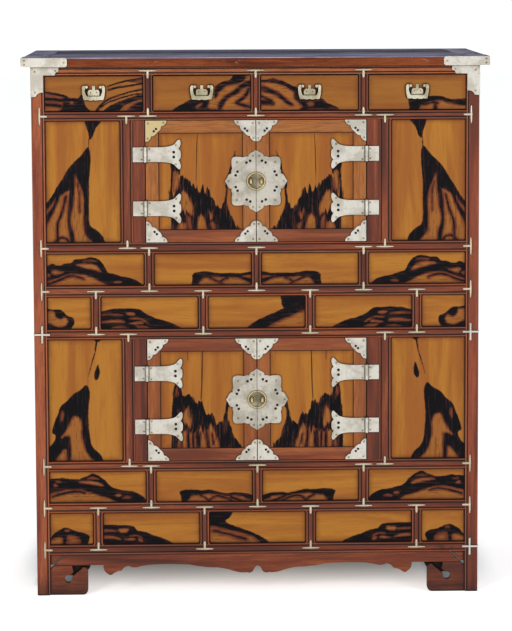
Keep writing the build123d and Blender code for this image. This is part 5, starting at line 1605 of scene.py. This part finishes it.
def sawn(outline, holes, thick, gold=0.0):
    """Shell of a plate from its outline and holes (x, z) in metres, lying on the front of the case."""
    curve = bpy.data.curves.new("sawn", "CURVE")
    curve.dimensions, curve.fill_mode = "2D", "BOTH"
    curve.extrude, curve.bevel_depth, curve.bevel_resolution = thick / 2 - FILED, FILED, 1
    curve.offset = -FILED
    for line in [outline] + holes:
        spline = curve.splines.new("POLY")
        spline.points.add(len(line) - 1)
        flat = np.zeros((len(line), 4))
        flat[:, :2], flat[:, 3] = line, 1
        spline.points.foreach_set("co", flat.ravel())
        spline.use_cyclic_u = True
    holder = bpy.data.objects.new("sawn", curve)
    scene.collection.objects.link(holder)
    bpy.context.view_layer.update()
    made = bpy.data.meshes.new_from_object(holder.evaluated_get(bpy.context.evaluated_depsgraph_get()))
    mesh = bmesh.new()
    mesh.from_mesh(made)
    bpy.data.objects.remove(holder)
    bpy.data.curves.remove(curve)
    bpy.data.meshes.remove(made)
    bmesh.ops.remove_doubles(mesh, verts=mesh.verts, dist=2e-6)
    cut_in_fours(mesh)
    bmesh.ops.recalc_face_normals(mesh, faces=mesh.faces)
    flat = np.array([v.co for v in mesh.verts])
    quads, tris = (np.array([[v.index for v in f.verts] for f in mesh.faces if len(f.verts) == count],
                            int).reshape(-1, count) for count in (4, 3))
    mesh.free()
    points = np.stack([flat[:, 0], FRONT - thick / 2 - flat[:, 2], flat[:, 1]], -1)
    return outward({"points": points, "quads": quads, "tris": tris,
                    "values": {"gold": np.full(len(points), gold)}})


print("points of a sawn square", len(sawn(square, [], 0.0012)["points"]))

# %% Outlines of the plates
EIGHTH = [(0.6, 77), (0.6, 77), (3, 75), (7, 72.2), (12, 70), (16.5, 67), (18.6, 63.2), (18.7, 60.2),
          (18.7, 60.2), (22, 61), (27, 60.4), (31, 58.6), (31, 58.6), (36, 59.6), (44, 60.4), (52, 60.2),
          (55.6, 59.2), (57.4, 57.4)]
LEG = [(0, 52), (0, 52), (3.6, 51.8), (8, 49.2), (11.6, 45), (13.2, 41), (13.6, 38.4), (13.6, 38.4),
       (17, 38.4), (21.5, 36.6), (25.6, 33.2), (28.6, 28.6)]
TAIL = [(4.6, 18), (4.6, 18), (32, 18), (46, 18.4), (57, 19.8), (66, 22.2), (71, 25), (71, 25), (74.6, 28.8),
        (79, 33.8), (82.4, 36.6), (85, 36.4), (87, 32.4), (87.2, 26.4), (85.4, 19.4), (81.8, 13.4),
        (81.8, 13.4), (85.8, 10.6), (87.4, 5.2)]


def hung(points):
    """The points mirrored below the middle, in turned order."""
    return [(x, -z) for x, z in points][::-1]


def swapped(points):
    """The points mirrored over the diagonal."""
    return [(z, x) for x, z in points]


QUARTER = EIGHTH + swapped(EIGHTH[-2:1:-1]) + [(77.2, 0), (77.2, 0)]
LOCK_OUTLINE = smoothed(QUARTER + hung(QUARTER[:-2]), True)
LOCK_HOLES = [(x, z * k) for k in (-1, 1) for x, z in ((23.5, 45.7), (14.5, 50.2), (45.7, 23.5), (50.2, 14.5))]
CORNER_OUTLINE = smoothed([(0, 0), (0, 0)] + LEG + swapped(LEG[-2::-1]), True)
CORNER_HOLES = [(26, 20.4), (20.4, 26)]
LEAF_OUTLINE = smoothed(TAIL + hung(TAIL), True)
LEAF_HOLES = [(70, 6), (70, -6)]
print("outlines of plates", len(LOCK_OUTLINE), len(CORNER_OUTLINE), len(LEAF_OUTLINE))

# %% [markdown]
# ## Rings and roses of the locks
# In the middle of each lock plate a round ring stands proud of a shallow dish. Both are split where
# the doors meet, half on each door. They are surfaces of revolution, so a section is carried round
# half a turn, with a hair's gap at the split.


# %% Rings and roses of the locks
SPLIT = 0.0007
PLATE, LEAF = 0.0012, 0.00153  # thickness of plates and of hinge leaves
PLATE_FACE = FRONT - PLATE


def half_ring(sign, z, centre=0.0203, wide=0.0021, tall=0.0026):
    """Half a ring: (centre + wide cos a) carried round z, rising by tall sin a in front of the plate."""
    t, a = np.meshgrid(np.linspace(-np.pi / 2, np.pi / 2, 33), np.linspace(0, np.pi, 8), indexing="ij")
    away = centre + wide * np.cos(a)
    return tube(np.stack([sign * (SPLIT + away * np.cos(t)), PLATE_FACE - tall * np.sin(a),
                          z + away * np.sin(t)], -1), gold=1.0)


def half_rose(sign, z, radius=0.0186):
    """Half a dish inside the ring, its front at 0.3 + 0.5 (r / radius)^2 mm before the plate."""
    r = np.array([1, 1, 0.85, 0.6, 0.35, 0.03, 0.03]) * radius
    y = PLATE_FACE - MM * (0.3 + 0.5 * (r / radius) ** 2)
    y[[0, -1]] = PLATE_FACE + 0.0002
    t = np.linspace(-np.pi / 2, np.pi / 2, 17)[:, None]
    return tube(np.stack([sign * (SPLIT + r * np.cos(t)), y + 0 * t, z + r * np.sin(t)], -1))


print("points of a half ring", len(half_ring(1, 0)["points"]))

# %% [markdown]
# ## Door plates
# Each door carries half a lock plate, four corner plates and two hinge leaves. One outline of each
# kind is placed and mirrored by its signs. Low near black domes close the holes from behind, as
# painted shade in the holes. The barrels and the staple keep the model's shape, because the hinge pin
# and a padlock fit them.


# %% Door plates
DOOR_MIDDLE = {"lower": 0.4915, "upper": 1.035}
HINGE_X, HINGE_RISE, BARREL_REACH = 0.272, 0.0665, 0.0056
LOCK_HOLE, CORNER_HOLE, LEAF_HOLE = 0.0034, 0.0031, 0.0036  # radii
GILT_REACH, GILT_FRONT, PLATE_NAIL = 0.0223, -0.262, 0.0027


def cut(outline, spots, x, z, across, up, thick, radius, gold=0.0):
    """A plate with its corner at (x, z), mirrored by across and up, and low domes of painted shade in its
    holes.
    """
    centres = [(x + across * u * MM, z + up * v * MM) for u, v in spots]
    plate = sawn(outline * (across, up) + (x, z), [circle(*place, radius) for place in centres], thick, gold)
    return plate, [dome(u, FRONT, v, radius * 1.25, 0.0002) for u, v in centres]


def plates_of(door, sign, middle):
    """The plates of one door as (node ending, plates with their wood, metal)."""
    low, high = box_of(f"{door}_frame")
    lock = [cut(LOCK_OUTLINE, LOCK_HOLES, 0, middle, sign, 1, PLATE, LOCK_HOLE)]
    # one corner plate of the upper left door has stayed yellow
    corners = [cut(CORNER_OUTLINE, CORNER_HOLES, x, z, across, up, PLATE, CORNER_HOLE,
                   float(door == "upper_left_door" and across > 0 > up))
               for x, across in ((low[0], 1), (high[0], -1)) for z, up in ((low[2], 1), (high[2], -1))]
    leaves = [cut(LEAF_OUTLINE, LEAF_HOLES, sign * HINGE_X, middle + k * HINGE_RISE, -sign, 1, LEAF, LEAF_HOLE)
              for k in (-1, 1)]
    return (("lock_plate", lock, lock_brass), ("corner_plates", corners, white_brass),
            ("hinge_leaves", leaves, white_brass))


def barrels_of(door, sign):
    """The model's hinge leaves, sawn off just past the barrel."""
    mesh = eased(f"{door}_hinge_leaves", 0.0003)[0]
    rest = bmesh.new()
    rest.from_mesh(mesh)
    bmesh.ops.bisect_plane(rest, geom=rest.verts[:] + rest.edges[:] + rest.faces[:], dist=1e-7,
                           plane_co=(sign * (HINGE_X - BARREL_REACH), 0, 0), plane_no=(-sign, 0, 0),
                           clear_outer=True)
    bmesh.ops.holes_fill(rest, edges=[e for e in rest.edges if len(e.link_faces) == 1], sides=0)
    cut_in_fours(rest)
    rest.to_mesh(mesh)
    rest.free()
    return mesh


def gild(piece, centre):
    """Point value "gold": 1 within GILT_REACH of a place (x, z) and in front of y = GILT_FRONT."""
    x, y, z = points_of(piece.data).T
    near = (np.hypot(x - centre[0], z - centre[1]) < GILT_REACH) & (y < GILT_FRONT)
    piece.data.attributes.new("gold", "FLOAT", "POINT").data.foreach_set("value", near.astype(np.float32))


for tier, _, door, sign in DOORS:
    middle, hole_shades = DOOR_MIDDLE[tier], []
    for part, sheets, metal in plates_of(door, sign, middle):
        node = f"{door}_{part}"
        shells = [plate for plate, _ in sheets]
        hole_shades += [spot for _, spots in sheets for spot in spots]
        if part == "lock_plate":
            shells.append(half_ring(sign, middle))
        metal_piece(f"{node}_sawn", shells, door, node, metal)
        nail_heads(f"{node}_nails", eased(node, 0.0003)[1], door, node, PLATE_NAIL)
    finish_piece(f"{door}_rose", [half_rose(sign, middle)], door, [f"{door}_lock_plate"], "white_brass",
                 shaded_rose_brass, wood=False)
    # near black domes in the holes: painted shade
    finish_piece(f"{door}_painted_shade_in_holes", hole_shades, door, [f"{door}_lock_plate"], "door_wood", shade_black_wood)
    metal_piece(f"{door}_barrels", barrels_of(door, sign), door, f"{door}_hinge_leaves", white_brass)
    gild(eased_metal(f"{door}_staple_filed", door, f"{door}_lock_staple", 0.0003, lock_brass), (0, middle))
print("door plates sawn", len(DOORS))

# %% [markdown]
# ## Straps, brackets and pulls
# The other fittings keep the outlines of the model. Their edges are filed round and every nail has a
# domed head. The thin T straps have been made above, so solids as shallow as they are left out here.
# The hinge pins keep their CAD mesh, and only their material changes.

# %% Straps, brackets and pulls
T_STRAP_DEEP = 0.0015
eased_metal("crosses_and_top_straps", "case", "strap_fittings", 0.0004, white_brass, skip_small=T_STRAP_DEEP)
eased_metal("corner_brackets_filed", "case", "corner_brackets", 0.0004, white_brass)
eased_metal("fixed_leaves_filed", "case", "hinge_fixed_leaves", 0.0003, white_brass)
for drawer in DRAWERS:
    plate, bail = f"{drawer}_pull_plate", f"{drawer}_bail"
    eased_metal(f"{plate}_filed", drawer, plate, 0.0003, pull_brass)
    eased_metal(f"{bail}_filed", bail, bail, 0.0012, pull_brass, segments=3)
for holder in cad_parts["hinge_pins"].material_slots:
    holder.link = "OBJECT"
    holder.material = white_brass
print("pin slots", len(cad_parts["hinge_pins"].material_slots))

# %% [markdown]
# ## Triangles, then the end
# The finished chest has to be as large as its solids. Here only the count of triangles in the meshes
# in use is printed.

# %% Triangles, then the end
print("triangles", sum(sum(len(p.vertices) - 2 for p in m.polygons) for m in bpy.data.meshes if m.users))
